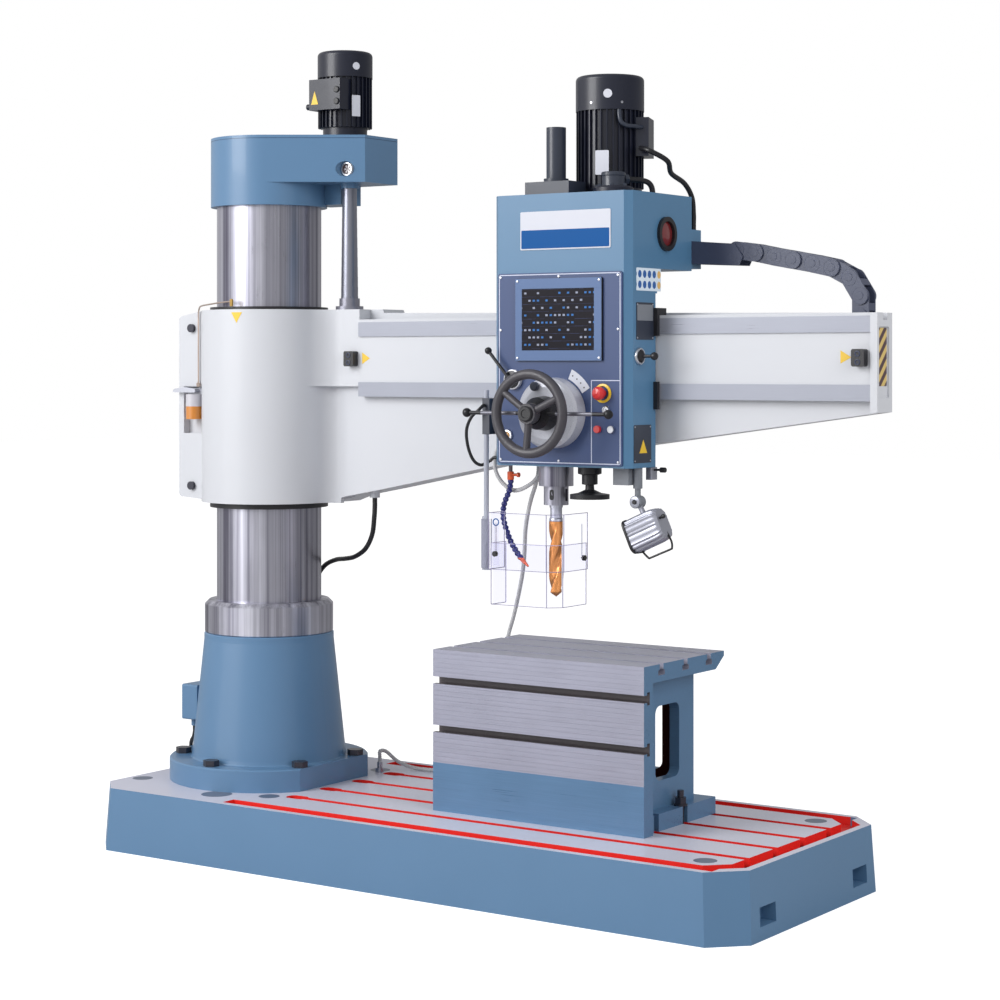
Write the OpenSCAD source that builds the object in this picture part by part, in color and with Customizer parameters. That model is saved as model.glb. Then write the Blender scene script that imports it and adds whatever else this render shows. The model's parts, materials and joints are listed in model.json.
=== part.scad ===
// Radial arm drilling machine with a 350 mm column and a 1600 mm arm.
// Origin: column axis at floor level. X runs out along the arm, Y to the back, Z up.
// All sizes are in millimetres.

/* [Base] */
// Length of the base plate
base_l = 2400; // [2350:10:2600]
// Width of the base plate at its top
base_w = 954; // [940:2:1060]
// Height of the base plate
base_h = 202; // [190:1:230]
// Distance from the column axis to the left end of the base
base_back = 365; // [350:5:420]
// Chamfer of the base plate's corners
base_chamfer = 94; // [70:1:110]
// How far the base plate's foot stands out from its top edge
base_draft = 10.6; // [4:0.1:16]
// Width of the rim round the coolant gutter
rim_w = 24; // [16:1:30]
// Width of the coolant gutter
gutter_w = 54; // [40:1:60]
// Depth of the coolant gutter
gutter_d = 26; // [12:1:32]
// Spacing of the base's T-slots
slot_pitch = 170; // [150:1:174]
// Width of a T-slot's mouth
slot_mouth = 28; // [22:1:32]
// Diameter of the foundation bolt holes
anchor_d = 30; // [24:1:36]
// Diameter of the caps over the foundation bolts
cap_d = 68; // [56:1:76]
// Thickness of the caps over the foundation bolts
cap_t = 12; // [8:1:16]

/* [Box table] */
// Length of the box table
table_l = 762; // [700:2:800]
// Height of the box table
table_h = 500; // [460:2:520]
// Depth of the box table's top
table_d = 480; // [440:2:500]
// Distance from the column axis to the box table's left end
table_x = 817; // [760:1:840]
// Y of the box table's front face
table_front = -183; // [-200:1:-170]
// Thickness of the box table's walls
table_wall = 52; // [44:1:60]
// Spacing of the T-slots in the table's top and front
table_pitch = 142; // [130:1:150]
// Width of the table's T-slot mouths
table_mouth = 22; // [18:1:24]

/* [Column] */
// Outer diameter of the turning column
column_d = 350; // [340:1:360]
// Wall of the turning column
column_wall = 30; // [24:1:36]
// Height of the stand's top above the floor
stand_top = 690; // [660:5:720]
// Diameter of the stand's flange
flange_d = 664; // [640:2:680]
// Thickness of the stand's flange
flange_t = 73; // [60:1:80]
// Diameter of the circle of the stand's bolts
stand_pcd = 584; // [570:2:596]
// Outer diameter of the clamp ring at the column's foot
ring_d = 430; // [400:2:440]
// Height of the clamp ring
ring_h = 108; // [80:1:120]
// Outer diameter of the fixed inner column
inner_d = 220; // [200:2:236]
// Height of the whole machine, to the top of the lift motor
machine_h = 2630; // [2600:10:2800]
// Height of the lift motor with its cowl
lift_h = 289; // [270:1:300]
// Height of the underside of the column's top housing
housing_z = machine_h - 518;
// Height of the top of the column's housing
housing_top = machine_h - lift_h;
// Outer diameter of the housing round the column
housing_d = 390; // [384:2:400]
// Radius of the lift motor
lift_r = 91; // [84:1:94]

/* [Arm] */
// Outer diameter of the arm's sleeve
sleeve_d = 452; // [440:2:460]
// Height of the arm's sleeve
sleeve_h = 640; // [620:2:650]
// Height of the sleeve's lower end at rest
sleeve_z = 1127; // [1127:1:1140]
// Distance from the column axis to the arm's free end
arm_end = 2235; // [2200:5:2260]
// Height of a guide way's face
way_h = 47; // [40:1:50]
// Centre distance of the two guide ways
way_gap = 196; // [190:1:200]
// Thickness of a guide way
way_t = 40; // [34:1:42]
// Radius of the elevating screw
screw_r = 16; // [14:0.5:17]
// X of the elevating screw
screw_x = 289; // [286:1:292]
// Y of the elevating screw
screw_y = 70; // [66:1:76]

/* [Drill head] */
// Width of the drill head
head_w = 490; // [480:2:500]
// X of the drill head's left side at rest
head_x = 1020; // [1010:1:1030]
// Y of the drill head's front face
head_front = -150; // [-156:1:-146]
// Height of the drill head's underside
head_z = 1278; // [1274:1:1290]
// Height of the drill head's top
head_top = 2101; // [2090:1:2120]
// Y of the back of the head's upper part
head_back = 217; // [210:1:219]
// X of the spindle at rest
spindle_x = 1203; // [1200:1:1206]
// Y of the spindle
spindle_y = -75; // [-78:1:-72]
// Radius of the quill
quill_r = 53; // [48:1:56]
// Radius of the main motor
motor_r = 104; // [98:1:106]
// Height of the main motor with its cowl
motor_h = 366; // [350:1:380]
// Outer radius of the traverse handwheel
wheel_r = 132; // [124:1:138]
// Length of a feed lever from the hub's axis to the knob's centre
lever_l = 252; // [240:1:256]
// Radius of the fine feed handwheel
fine_r = 60; // [50:1:64]
// Diameter of the drill bit
drill_d = 44; // [36:1:46]
// Length of the drill bit below its socket
drill_l = 246; // [220:1:250]

/* [Hidden] */

$fn = 64;
gap = 0.3;
fit = 0.05;
blue = [0.36, 0.53, 0.68];
white = [0.92, 0.93, 0.94];
steel = [0.72, 0.72, 0.76];
dark = [0.13, 0.13, 0.15];
grey = [0.45, 0.46, 0.5];

base_x1 = base_l - base_back;
island_y = base_w / 2 - rim_w - gutter_w;
island_x = base_x1 - rim_w - gutter_w;
slot_start = 338;
slot_head = slot_mouth + 22;
slot_neck = 26;
slot_foot = 20;
anchors = [[-313, 282], [247, 292], [1872, 340]];
cover_plug = [83, -359, 50];

column_r = column_d / 2;
flange_z = base_h + flange_t;
flange_flat = 280;
ring_gap = 0.5;
ring_z = stand_top + ring_gap;
column_z0 = ring_z + 6;
column_seat = housing_z + 40;

sleeve_r = sleeve_d / 2;
sleeve_top = sleeve_z + sleeve_h;
way_mid_top = sleeve_top - 66.5;
way_mid_low = way_mid_top - way_gap;
way_top = way_mid_top + way_h / 2;
way_low = way_mid_low - way_h / 2;
arm_top = way_top + 9;
way_x0 = 380;
way_x1 = arm_end - 22;
web_y = 6;
low_web_y = 30;
arm_back = 190;
arm_tip_back = 99;

head_x1 = head_x + head_w;
head_mid_z = arm_top + 140;
motor_x = 1312;
fine_x = 1324;
motor_y = 60;
wheel_x = 1254;
wheel_z = 1440;
wheel_y = -300;
panel_t = 6;
panel_y = head_front - panel_t;
drum_t = 60;
lever_y = panel_y - drum_t - 46;
lever_shaft = 24;
wheel_shaft = 15;

// A rectangle with round corners, from one corner to the other
module round_rect(x0, y0, x1, y1, r) {
    translate([x0 + r, y0]) square([x1 - x0 - 2 * r, y1 - y0]);
    translate([x0, y0 + r]) square([x1 - x0, y1 - y0 - 2 * r]);
    for (x = [x0 + r, x1 - r], y = [y0 + r, y1 - r]) translate([x, y]) circle(r, $fn = 32);
}

// A flat shape drawn in X and Z, made solid from Y = y0 to y1
module in_xz(y0, y1) {
    translate([0, y1, 0]) rotate([90, 0, 0]) linear_extrude(y1 - y0) children();
}

// A flat shape drawn in Y and Z, made solid from X = x0 to x1
module in_yz(x0, x1) {
    translate([x0, 0, 0]) rotate([90, 0, 90]) linear_extrude(x1 - x0) children();
}

module box(a, b) {
    translate(a) cube(b - a);
}

// A cylinder along X or Y between two places
module rod_x(x0, x1, y, z, r) {
    translate([x0, y, z]) rotate([0, 90, 0]) cylinder(h = x1 - x0, r = r);
}
module rod_y(y0, y1, x, z, r) {
    translate([x, y1, z]) rotate([90, 0, 0]) cylinder(h = y1 - y0, r = r);
}
module rod_z(z0, z1, x, y, r) {
    translate([x, y, z0]) cylinder(h = z1 - z0, r = r);
}

// A tube swept along a round route, square to it, with flat ends
function unit(v) = v / norm(v);
function bend(p, i, t) = let (a = p[max(i - 1, 0)], b = p[i], c = p[i + 1],
    d = p[min(i + 2, len(p) - 1)]) 0.5 * (2 * b + (c - a) * t
    + (2 * a - 5 * b + 4 * c - d) * t * t + (3 * b - a - 3 * c + d) * t * t * t);
function route(p, n) = [for (i = [0:len(p) - 2], k = [0:n - 1]) bend(p, i, k / n), p[len(p) - 1]];
function heading(q, i) = unit(q[min(i + 1, len(q) - 1)] - q[max(i - 1, 0)]);
function frames(q, i = 0, side = [0, 0, 0], out = []) = i == len(q) ? out
    : let (t = heading(q, i), s0 = side == [0, 0, 0] ? cross(t, abs(t.z) < 0.9 ? [0, 0, 1] : [1, 0, 0])
        : side, s = unit(s0 - t * (s0 * t))) frames(q, i + 1, s, concat(out, [[s, cross(t, s)]]));
module tube_along(p, r, n = 3, sides = 8) {
    q = route(p, n);
    f = frames(q);
    m = len(q);
    pts = [for (i = [0:m - 1], k = [0:sides - 1]) q[i] + r * (cos(360 * k / sides) * f[i][0]
        + sin(360 * k / sides) * f[i][1])];
    walls = [for (i = [0:m - 2], k = [0:sides - 1]) let (a = i * sides + k,
        b = i * sides + (k + 1) % sides) each [[a, a + sides, b], [b, a + sides, b + sides]]];
    ends = [[for (k = [0:sides - 1]) k], [for (k = [sides - 1:-1:0]) (m - 1) * sides + k]];
    polyhedron(points = pts, faces = concat(walls, ends));
}

// Outline of the base plate, larger by g all round
module base_outline(g) {
    x0 = -base_back - g;
    x1 = base_x1 + g;
    y1 = base_w / 2 + g;
    c = base_chamfer;
    polygon([[x0 + c, -y1], [x1 - c, -y1], [x1, c - y1], [x1, y1 - c], [x1 - c, y1],
        [x0 + c, y1], [x0, y1 - c], [x0, c - y1]]);
}

// T-slot drawn across its run, with its mouth at height 0
module t_slot(mouth, neck, foot_w, foot_h) {
    translate([-mouth / 2, -neck - 1]) square([mouth, neck + 2]);
    translate([-foot_w / 2, -neck - foot_h]) square([foot_w, foot_h]);
}

module base_gutter() {
    difference() {
        union() {
            box([190, -island_y - gutter_w, base_h - gutter_d], [island_x, -island_y, base_h + 1]);
            box([190, island_y, base_h - gutter_d], [island_x, island_y + gutter_w, base_h + 1]);
            translate([0, 0, base_h - gutter_d]) linear_extrude(gutter_d + 1) difference() {
                base_outline(-rim_w);
                translate([-base_back, -base_w]) square([island_x - 60 + base_back, 2 * base_w]);
            }
        }
        translate([0, 0, base_h - gutter_d - 1]) linear_extrude(gutter_d + 3)
            polygon([[0, -island_y], [island_x - 60, -island_y], [island_x, 60 - island_y],
                [island_x, island_y - 60], [island_x - 60, island_y], [0, island_y]]);
    }
}

module base_plate() {
    rib = 30;
    cells_x = 5;
    cells_y = 3;
    cell_x0 = 350;
    cell_l = (base_x1 - 255 - cell_x0) / cells_x;
    cell_w = (base_w - 60) / cells_y;
    roof = base_h - slot_neck - slot_foot - 34;
    color(blue) difference() {
        hull() {
            linear_extrude(1) base_outline(base_draft);
            translate([0, 0, base_h - 1]) linear_extrude(1) base_outline(0);
        }
        base_gutter();
        for (i = [-1.5:1.5]) {
            translate([0, i * slot_pitch, base_h]) in_yz(slot_start, island_x + 1)
                t_slot(slot_mouth, slot_neck, slot_head, slot_foot);
            translate([slot_start - 8, i * slot_pitch, base_h - slot_neck - slot_foot])
                linear_extrude(slot_neck + slot_foot + 1)
                    round_rect(-36, -slot_head / 2, 42, slot_head / 2, slot_head / 2 - 1);
        }
        for (a = anchors, s = [-1, 1]) {
            rod_z(-1, base_h + 1, a.x, s * a.y, anchor_d / 2);
            rod_z(base_h - cap_t, base_h + 1, a.x, s * a.y, cap_d / 2);
        }
        rod_z(base_h - cap_t, base_h + 1, cover_plug.x, cover_plug.y, cover_plug.z);
        for (i = [0:cells_x - 1], j = [0:cells_y - 1])
            box([cell_x0 + i * cell_l, -base_w / 2 + 30 + j * cell_w + rib / 2, -1],
                [cell_x0 + (i + 1) * cell_l - rib, -base_w / 2 + 30 + (j + 1) * cell_w - rib / 2, roof]);
        for (s = [-1, 1]) box([base_x1 - 40, s * 290 - 47, 38], [base_x1 + 20, s * 290 + 47, 92]);
    }
}

module foundation_caps() {
    color(grey) {
        for (a = anchors, s = [-1, 1])
            rod_z(base_h - cap_t, base_h, a.x, s * a.y, cap_d / 2 - gap);
        rod_z(base_h - cap_t, base_h, cover_plug.x, cover_plug.y, cover_plug.z - gap);
    }
}

stand_r0 = 257;
stand_r1 = 217;
module column_stand() {
    r_low = stand_r0;
    r_top = stand_r1;
    wall = 32;
    color(blue) difference() {
        rotate_extrude() polygon([[inner_d / 2 + 60, base_h], [flange_d / 2, base_h],
            [flange_d / 2, flange_z - 4], [flange_d / 2 - 4, flange_z], [r_low + 5, flange_z],
            [r_low + 2, flange_z + 4], [r_low, flange_z + 14], [r_top, stand_top - 22],
            [r_top, stand_top - 4], [r_top - 4, stand_top], [inner_d / 2 + 12, stand_top],
            [inner_d / 2 + 12, stand_top - 40], [r_top - wall, stand_top - 60],
            [r_low - wall, flange_z], [inner_d / 2 + 60, flange_z - 30]]);
        box([flange_flat, -flange_d, base_h - 1], [flange_flat + flange_d, flange_d, stand_top]);
        for (a = [30:60:330]) rotate(a) rod_z(base_h - 1, flange_z + 1, stand_pcd / 2, 0, 16);
    }
}

// Hexagon bolt standing on a face at z, with its shank below it
module hex_bolt(af, head_h, shank_r, shank_l) {
    cylinder(h = head_h, r = af / sqrt(3), $fn = 6);
    translate([0, 0, -shank_l]) cylinder(h = shank_l + 1, r = shank_r);
}

module stand_bolts() {
    color(dark) for (a = [30:60:330]) rotate(a) translate([stand_pcd / 2, 0, flange_z]) {
        hex_bolt(46, 19, 15, flange_t);
    }
}

module inner_column() {
    r = inner_d / 2;
    color(steel) rotate_extrude() polygon([[r - 34, base_h], [r + 55, base_h], [r + 55, base_h + 40],
        [r + 8, base_h + 40], [r, base_h + 60], [r, housing_z + 20], [r - 34, housing_z + 20]]);
}

// Rolling bearings between the fixed and the turning column
module column_bearings() {
    r0 = inner_d / 2;
    r1 = column_r - column_wall - fit;
    color(steel) for (z = [column_z0 + 14, housing_z - 80]) translate([0, 0, z]) rotate_extrude()
        polygon([[r0, 0], [r1, 0], [r1, 46], [r0, 46]]);
}

// The stand's tapered side, larger by g all round
module stand_cone(g) {
    translate([0, 0, flange_z + 14]) cylinder(h = stand_top - 22 - flange_z - 14, r1 = stand_r0 + g,
        r2 = stand_r1 + g);
}

module mains_box() {
    color(blue) difference() {
        in_yz(-330, -262) round_rect(-70, stand_top - 318, 70, stand_top - 198, 6);
        stand_cone(0);
    }
    color(dark) rod_z(stand_top - 342, stand_top - 318, -305, -34, 11);
}

mains_route = [[-305, -34, 348], [-305, -34, 338], [-305, -34, 328], [-314, -29, 308],
    [-333, -18, 292], [-347, -6, 270], [-349, 4, 244], [-349, 4, 226], [-349, 4, 214],
    [-349, 4, 202]];
module mains_cable() {
    color(dark) tube_along(mains_route, 6.5);
}

module box_table() {
    x1 = table_x + table_l;
    z0 = base_h;
    z1 = base_h + table_h;
    y1 = table_front + table_d;
    inset = 58;
    rear = 210;
    foot_y = 272;
    foot_h = 52;
    color(steel) difference() {
        union() {
            box([table_x, table_front, z0], [x1, table_front + table_wall, z1]);
            in_yz(table_x, x1) polygon([[table_front, z1], [table_front, z1 - table_wall],
                [y1 - 52, z1 - table_wall], [y1, z1 - 15], [y1, z1]]);
            box([table_x + inset, table_front + 20, z0], [x1 - inset, rear, z1 - 20]);
            box([table_x + inset - 42, table_front + 20, z0], [x1 - inset + 42, foot_y, z0 + foot_h]);
        }
        box([table_x + inset + 34, table_front + table_wall, z0 + foot_h],
            [x1 - inset - 34, rear - 34, z1 - table_wall]);
        in_yz(table_x - 1, x1 + 1) round_rect(-20, z0 + 136, rear - 88, z1 - 140, 26);
        in_xz(rear - 40, rear + 1) round_rect(table_x + 150, z0 + 136, x1 - 150, z1 - 140, 26);
        for (i = [-1:1]) translate([0, 60 + i * table_pitch, z1]) in_yz(table_x - 1, x1 + 1)
            t_slot(table_mouth, 18, table_mouth + 16, 15);
        for (i = [0, 1]) translate([0, table_front, z1 - 95 - i * 150]) rotate([90, 0, 0])
            in_yz(table_x - 1, x1 + 1) t_slot(table_mouth, 18, table_mouth + 16, 15);
        for (x = [table_x + inset - 43, x1 - inset + 9], y = [-0.5, 0.5])
            box([x, y * slot_pitch - 14, z0 - 1], [x + 34, y * slot_pitch + 14, z0 + foot_h + 1]);
        for (k = [0:23]) box([table_x - 1, table_front - 1, z1 - 12 - k * 14.5],
            [x1 + 1, table_front + 1, z1 - 10 - k * 14.5]);
    }
}

// T-bolts in the base's slots with their nuts on the table's foot
module table_bolts() {
    x = table_x + table_l - 58 + 26;
    z_foot = base_h + 52;
    y = slot_pitch / 2;
    color(dark) {
        rod_z(base_h - slot_neck - 14, z_foot + 46, x, y, 10);
        box([x - 20, y - 20, base_h - slot_neck - 16], [x + 20, y + 20, base_h - slot_neck - gap]);
        translate([x, y, z_foot]) cylinder(h = 5, r = 21);
        translate([x, y, z_foot + 5]) cylinder(h = 20, r = 19, $fn = 6);
    }
}

module hose_fitting() {
    color(grey) {
        rod_z(base_h, base_h + 14, 268, 262, 15);
        rod_z(base_h + 14, 236, 268, 262, 9);
    }
}

hose_route = [[1106, -26, 1278], [1106, -26, 1270], [1106, -26, 1262], [1100, -22, 1238], [1084, -14, 1204],
    [1060, 2, 1168], [1028, 32, 1122], [986, 80, 1060], [948, 132, 990], [908, 182, 924],
    [860, 232, 850], [800, 290, 765], [750, 330, 690], [715, 352, 600], [700, 366, 480],
    [696, 372, 360], [680, 372, 272], [640, 368, 226], [580, 362, 212], [500, 358, 210],
    [420, 352, 210], [350, 344, 212], [300, 322, 232], [276, 288, 268], [268, 264, 272],
    [268, 262, 256], [268, 262, 246], [268, 262, 236]];
module coolant_hose() {
    color([0.75, 0.75, 0.74]) tube_along(hose_route, 7, 3, 8);
}

module outer_column() {
    color(steel) difference() {
        rod_z(column_z0, column_seat, 0, 0, column_r);
        rod_z(column_z0 - 1, column_seat + 1, 0, 0, column_r - column_wall);
    }
}

module clamp_ring() {
    r = ring_d / 2;
    color(steel) {
        rotate_extrude() polygon([[column_r - 20, ring_z], [r - 3, ring_z], [r, ring_z + 3],
            [r, ring_z + ring_h - 14], [r - 14, ring_z + ring_h], [column_r, ring_z + ring_h],
            [column_r, column_z0], [column_r - 20, column_z0]]);
    }
}

// Plan of the top housing: the round part and the box over the elevating screw
box_x = 385;
box_y0 = 30;
box_y1 = 207;
function touch(r, p, side) = let (a = atan2(p.y, p.x) + side * acos(r / norm(p)))
    [r * cos(a), r * sin(a)];
module housing_plan(r) {
    circle(r);
    polygon([touch(r, [box_x, box_y0], -1), [box_x, box_y0], [box_x, box_y1],
        touch(r, [box_x, box_y1], 1), [0, 0]]);
}

lid_t = 11;
sight_x = 330;
sight_y = 26;
box_z = housing_z + 74;
motor_off = [232, 118];
module column_housing() {
    r = housing_d / 2;
    color(blue) difference() {
        union() {
            rod_z(housing_z, housing_top - lid_t, 0, 0, r);
            translate([0, 0, box_z]) linear_extrude(housing_top - lid_t - box_z) housing_plan(r);
            box([120, 72, housing_z + 8], [250, 180, box_z + 1]);
            rod_z(box_z - 16, box_z + 1, screw_x, screw_y, 32);
        }
        rod_z(housing_z - 1, column_seat, 0, 0, column_r + gap);
        rod_z(column_seat - 1, column_seat + 90, 0, 0, column_r - column_wall);
        rod_z(box_z - 20, box_z + 70, screw_x, screw_y, screw_r + 2 + fit);
        rod_y(-60, sight_y, sight_x, housing_top - 112, 25);
    }
}

module housing_lid() {
    color(blue) translate([0, 0, housing_top - lid_t]) linear_extrude(lid_t)
        housing_plan(housing_d / 2);
}

// Finned motor frame standing on its end, with n cooling fins
module motor_frame(r, h, n, foot_r, foot_h) {
    cylinder(h = foot_h, r = foot_r);
    translate([0, 0, foot_h]) linear_extrude(h - foot_h) {
        circle(r - 9);
        for (k = [0:n - 1]) rotate(k * 360 / n) translate([r - 12, -1.6]) square([11.5, 3.2]);
    }
}

module cowl(r, h) {
    difference() {
        rotate_extrude() polygon(concat([[0, 0], [r, 0]],
            [for (a = [0:15:90]) [r - 14 + 14 * cos(a), h - 14 + 14 * sin(a)]], [[0, h]]));
        for (k = [0:11]) rotate(k * 30) translate([r * 0.3, -3, h - 5]) cube([r * 0.45, 6, 10]);
    }
}

module lift_motor() {
    cowl_h = 87;
    color(dark) translate([motor_off.x, motor_off.y, housing_top]) {
        motor_frame(lift_r, lift_h - cowl_h, 30, 74, 35);
        translate([0, 0, lift_h - cowl_h]) cowl(lift_r + 1, cowl_h);
        translate([-65, -lift_r - 20, 90]) cube([130, 60, 102]);
        rod_x(-85, -64, -lift_r - 2, 104, 10);
    }
}

module sight_glass() {
    color(steel) rotate_about_y(sight_x, housing_top - 112, sight_y) polygon([[0, 0], [25 - gap, 0],
        [25 - gap, 22], [22, 26], [18, 26], [18, 18], [0, 18]]);
}

module elevating_screw() {
    color(steel) {
        rod_z(sleeve_z + 36, box_z, screw_x, screw_y, screw_r);
        rod_z(box_z, box_z + 60, screw_x, screw_y, screw_r + 2);
    }
}

// Spiral cover of the screw: each turn a little wider than the one above it
cover_top = box_z - 16;
cover_bottom = sleeve_top + 12;
module screw_cover() {
    turns = 12;
    step = (cover_top - cover_bottom) / turns;
    color(steel) translate([screw_x, screw_y, cover_bottom]) {
        rotate_extrude() polygon(concat([[screw_r + 3, 0]],
            [for (k = [0:turns - 1]) each [[28.5 - k * 0.42, k * step], [28.5 - k * 0.42, (k + 1) * step]]],
            [[screw_r + 3, turns * step]]));
    }
}

// Height of the arm's underside at a distance x along it
under = [[226, 1136], [447, 1176], [905, 1266], [2235, 1449]];
function under_z(x) = let (lift = sleeve_z - 1127, a = x < 905 ? under[1] : under[2],
    b = x < 905 ? under[2] : under[3]) a.y + (b.y - a.y) * (x - a.x) / (b.x - a.x) + lift;

// Plan of the blend from the sleeve to a flat face at Y = y, with a hollow round of radius r
module blend_plan(y, r) {
    xc = sqrt(pow(sleeve_r + r, 2) - pow(r - y, 2));
    k = sleeve_r / (sleeve_r + r);
    difference() {
        polygon([[0, y + 30], [0, 0], [k * xc, k * (y - r)], [xc, y - r], [xc, y + 30]]);
        translate([xc, y - r]) circle(r);
    }
}

module sleeve_ear() {
    in_xz(-100, 100) polygon([[-100, sleeve_top], [-216, sleeve_top], [-308, sleeve_top - 18],
        [-316, sleeve_top - 26], [-316, sleeve_z + 18], [-308, sleeve_z + 10], [-175, sleeve_z],
        [-100, sleeve_z]]);
}

ear_bolt_x = -255;
ear_bolt_z = [sleeve_z + 48, sleeve_top - 58];
lub_z = sleeve_z + 378;
arm_bay = 330;
back_taper = 2.6;
module arm_casting() {
    tip_z = under_z(arm_end);
    color(white) difference() {
        union() {
            rod_z(sleeve_z, sleeve_top, 0, 0, sleeve_r);
            in_xz(low_web_y, arm_back) polygon([[100, sleeve_top], [430, sleeve_top],
                [436, sleeve_top - 12], [arm_end, arm_top], [arm_end, tip_z], [905, under_z(905)],
                [447, under_z(447)], [300, sleeve_z + 22], [240, sleeve_z], [100, sleeve_z]]);
            in_xz(web_y, low_web_y + 1) polygon([[200, sleeve_top], [way_x0, sleeve_top],
                [way_x0, arm_top], [arm_end, arm_top], [arm_end, way_low], [way_x0, way_low],
                [way_x0, way_low + way_h - 14], [200, way_low + way_h - 14]]);
            box([way_x1, 0, tip_z], [arm_end, low_web_y + 1, arm_top]);
            translate([0, 0, way_low + way_h - 14]) linear_extrude(sleeve_top - way_low - way_h + 14)
                blend_plan(web_y, 100);
            translate([0, 0, sleeve_z]) linear_extrude(way_low + way_h - 14 - sleeve_z)
                blend_plan(low_web_y, 60);
            sleeve_ear();
            rod_z(1146, under_z(447) + 6, 384, 84, 17);
        }
        rod_z(sleeve_z - 1, sleeve_top + 1, 0, 0, column_r + fit);
        box([-400, -3, sleeve_z - 1], [-column_r + 6, 3, sleeve_top + 1]);
        for (z = ear_bolt_z) rod_y(-101, 101, ear_bolt_x, z, 11);
        box([-294, -110, lub_z - 152], [-188, -72, lub_z + 6]);
        box([way_x0, -1, way_top - way_h], [way_x1, way_t, way_top]);
        box([way_x0, -1, way_low], [way_x1, way_t, way_low + way_h]);
        box([way_x0, way_t, way_top - 12], [arm_end + 1, way_t + 26, arm_top + 1]);
        box([way_x0, -1, arm_top], [arm_end + 1, way_t + 26, sleeve_top + 1]);
        rod_z(sleeve_z - 1, sleeve_top + 1, screw_x, screw_y, screw_r + 8);
        rod_z(sleeve_top - 90, sleeve_top + 1, screw_x, screw_y, 30);
        translate([arm_end, arm_tip_back, 0]) rotate([0, 0, -back_taper]) translate([335 - arm_end, 0, sleeve_z - 1])
            cube([arm_end - 235, 200, sleeve_h + 2]);
        for (k = [0:4]) {
            x0 = 400 + k * arm_bay + (k > 0 ? 10 : 0);
            x1 = 390 + (k + 1) * arm_bay - 14;
            in_xz(low_web_y + 46, arm_back + 1) polygon([[x0, under_z(x0) + 30],
                [x1, under_z(x1) + 30], [x1, arm_top - 76], [x0, arm_top - 76]]);
        }
        in_yz(arm_end - 6, arm_end + 1) round_rect(12, tip_z + 40, 78, arm_top - 40, 6);
    }
}

// Hardened guide ways let into the arm, with the rack under the upper one
module arm_ways() {
    color(steel) {
        box([way_x0, 0, way_top - way_h], [way_x1, way_t, way_top]);
        box([way_x0, 0, way_low], [way_x1, way_t, way_low + way_h]);
    }
}

module sleeve_wipers() {
    color(dark) for (z = [sleeve_z - 18, sleeve_top]) translate([0, 0, z]) difference() {
        cylinder(h = z < sleeve_top ? 18 : 10, r = 198);
        translate([0, 0, -1]) cylinder(h = 20, r = column_r + fit);
    }
}

module clamp_bolts() {
    color(dark) for (z = ear_bolt_z) {
        rod_y(-100, 124, ear_bolt_x, z, 10);
        rod_y(-112, -100, ear_bolt_x, z, 14);
        translate([ear_bolt_x, 120, z]) rotate([90, 0, 0]) cylinder(h = 20, r = 17, $fn = 6);
    }
}

stop_h = 50;
module arm_stops() {
    z = way_mid_low + way_gap / 2 + 2;
    color(dark) {
        in_xz(web_y - 26, web_y) round_rect(334, z - stop_h / 2, 374, z + stop_h / 2, 6);
        in_xz(web_y - 26, web_y) round_rect(arm_end - 72, z - stop_h / 2, arm_end - 32, z + stop_h / 2, 6);
    }
}

module lift_nut() {
    color([0.45, 0.42, 0.44]) translate([screw_x, screw_y, sleeve_top]) difference() {
        union() {
            translate([0, 0, -90]) cylinder(h = 91, r = 30 - gap);
            cylinder(h = 12, r = 46);
            difference() {
                cylinder(h = 38, r = 34);
                translate([0, 0, 12]) cylinder(h = 30, r = 30);
            }
        }
        translate([0, 0, -100]) cylinder(h = 120, r = screw_r + fit);
    }
}

// One-shot oil pump on the sleeve's ear, with its glass and its pipe
module lubricator() {
    x = -248;
    y = -100;
    color(steel) {
        box([x - 26, -100, lub_z - 20], [x + 38, -72, lub_z]);
        rod_z(lub_z, lub_z + 5, x + 20, y + 12, 6);
    }
    color([0.85, 0.55, 0.2]) difference() {
        rod_z(lub_z - 104, lub_z - 20, x + 6, -103, 30);
        box([x - 60, -72, lub_z - 200], [x + 60, 0, lub_z]);
    }
}

module lubricator_lever() {
    color(grey) {
        rod_y(-124, -100 - gap, -228, lub_z - 8, 6);
        in_xz(-124, -116) polygon([[-232, lub_z - 14], [-224, lub_z - 2], [-270, lub_z + 4],
            [-318, lub_z - 2], [-324, lub_z - 12], [-310, lub_z - 14]]);
    }
}

// Cable chain: links along the upper run, round the bend and back in the trough
link_l = 65;
chain_h = 54;
chain_start = [head_x1 + 152, 1933];
chain_turn = [-8, -12, -10.5, -10.5, -12.5, -27.5, -57.5, -90, -118, -150, -176, -180, -180, -180,
    -180, -180];
function chain_sum(n) = n == 0 ? chain_start : let (a = chain_turn[n - 1])
    chain_sum(n - 1) + link_l * [cos(a), sin(a)];
chain_y0 = 222;
chain_w = 58;
// Open tray behind the arm that carries the lower run of the cable chain
trough_y0 = 212;
trough_y1 = 290;
trough_z = chain_sum(16).y - chain_h / 2 - gap;
// Y of the arm's back at a distance x along it
function back_y(x) = arm_tip_back + (arm_end - x) * tan(back_taper) + 0.2;
module chain_trough() {
    x0 = 1000;
    x1 = arm_end - 140;
    color(grey) {
        in_yz(x0, x1) polygon([[trough_y0, trough_z - 2], [trough_y1, trough_z - 2],
            [trough_y1, trough_z + 40], [trough_y1 - 2, trough_z + 40], [trough_y1 - 2, trough_z],
            [trough_y0, trough_z]]);
        for (k = [2:5]) let (x = 393 + k * arm_bay, y = back_y(x - 14)) {
            box([x - 14, y, trough_z - 8], [x + 14, trough_y1 - 10, trough_z - 2]);
            box([x - 14, y, trough_z - 70], [x + 14, y + 6, trough_z - 8]);
        }
    }
}

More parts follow.
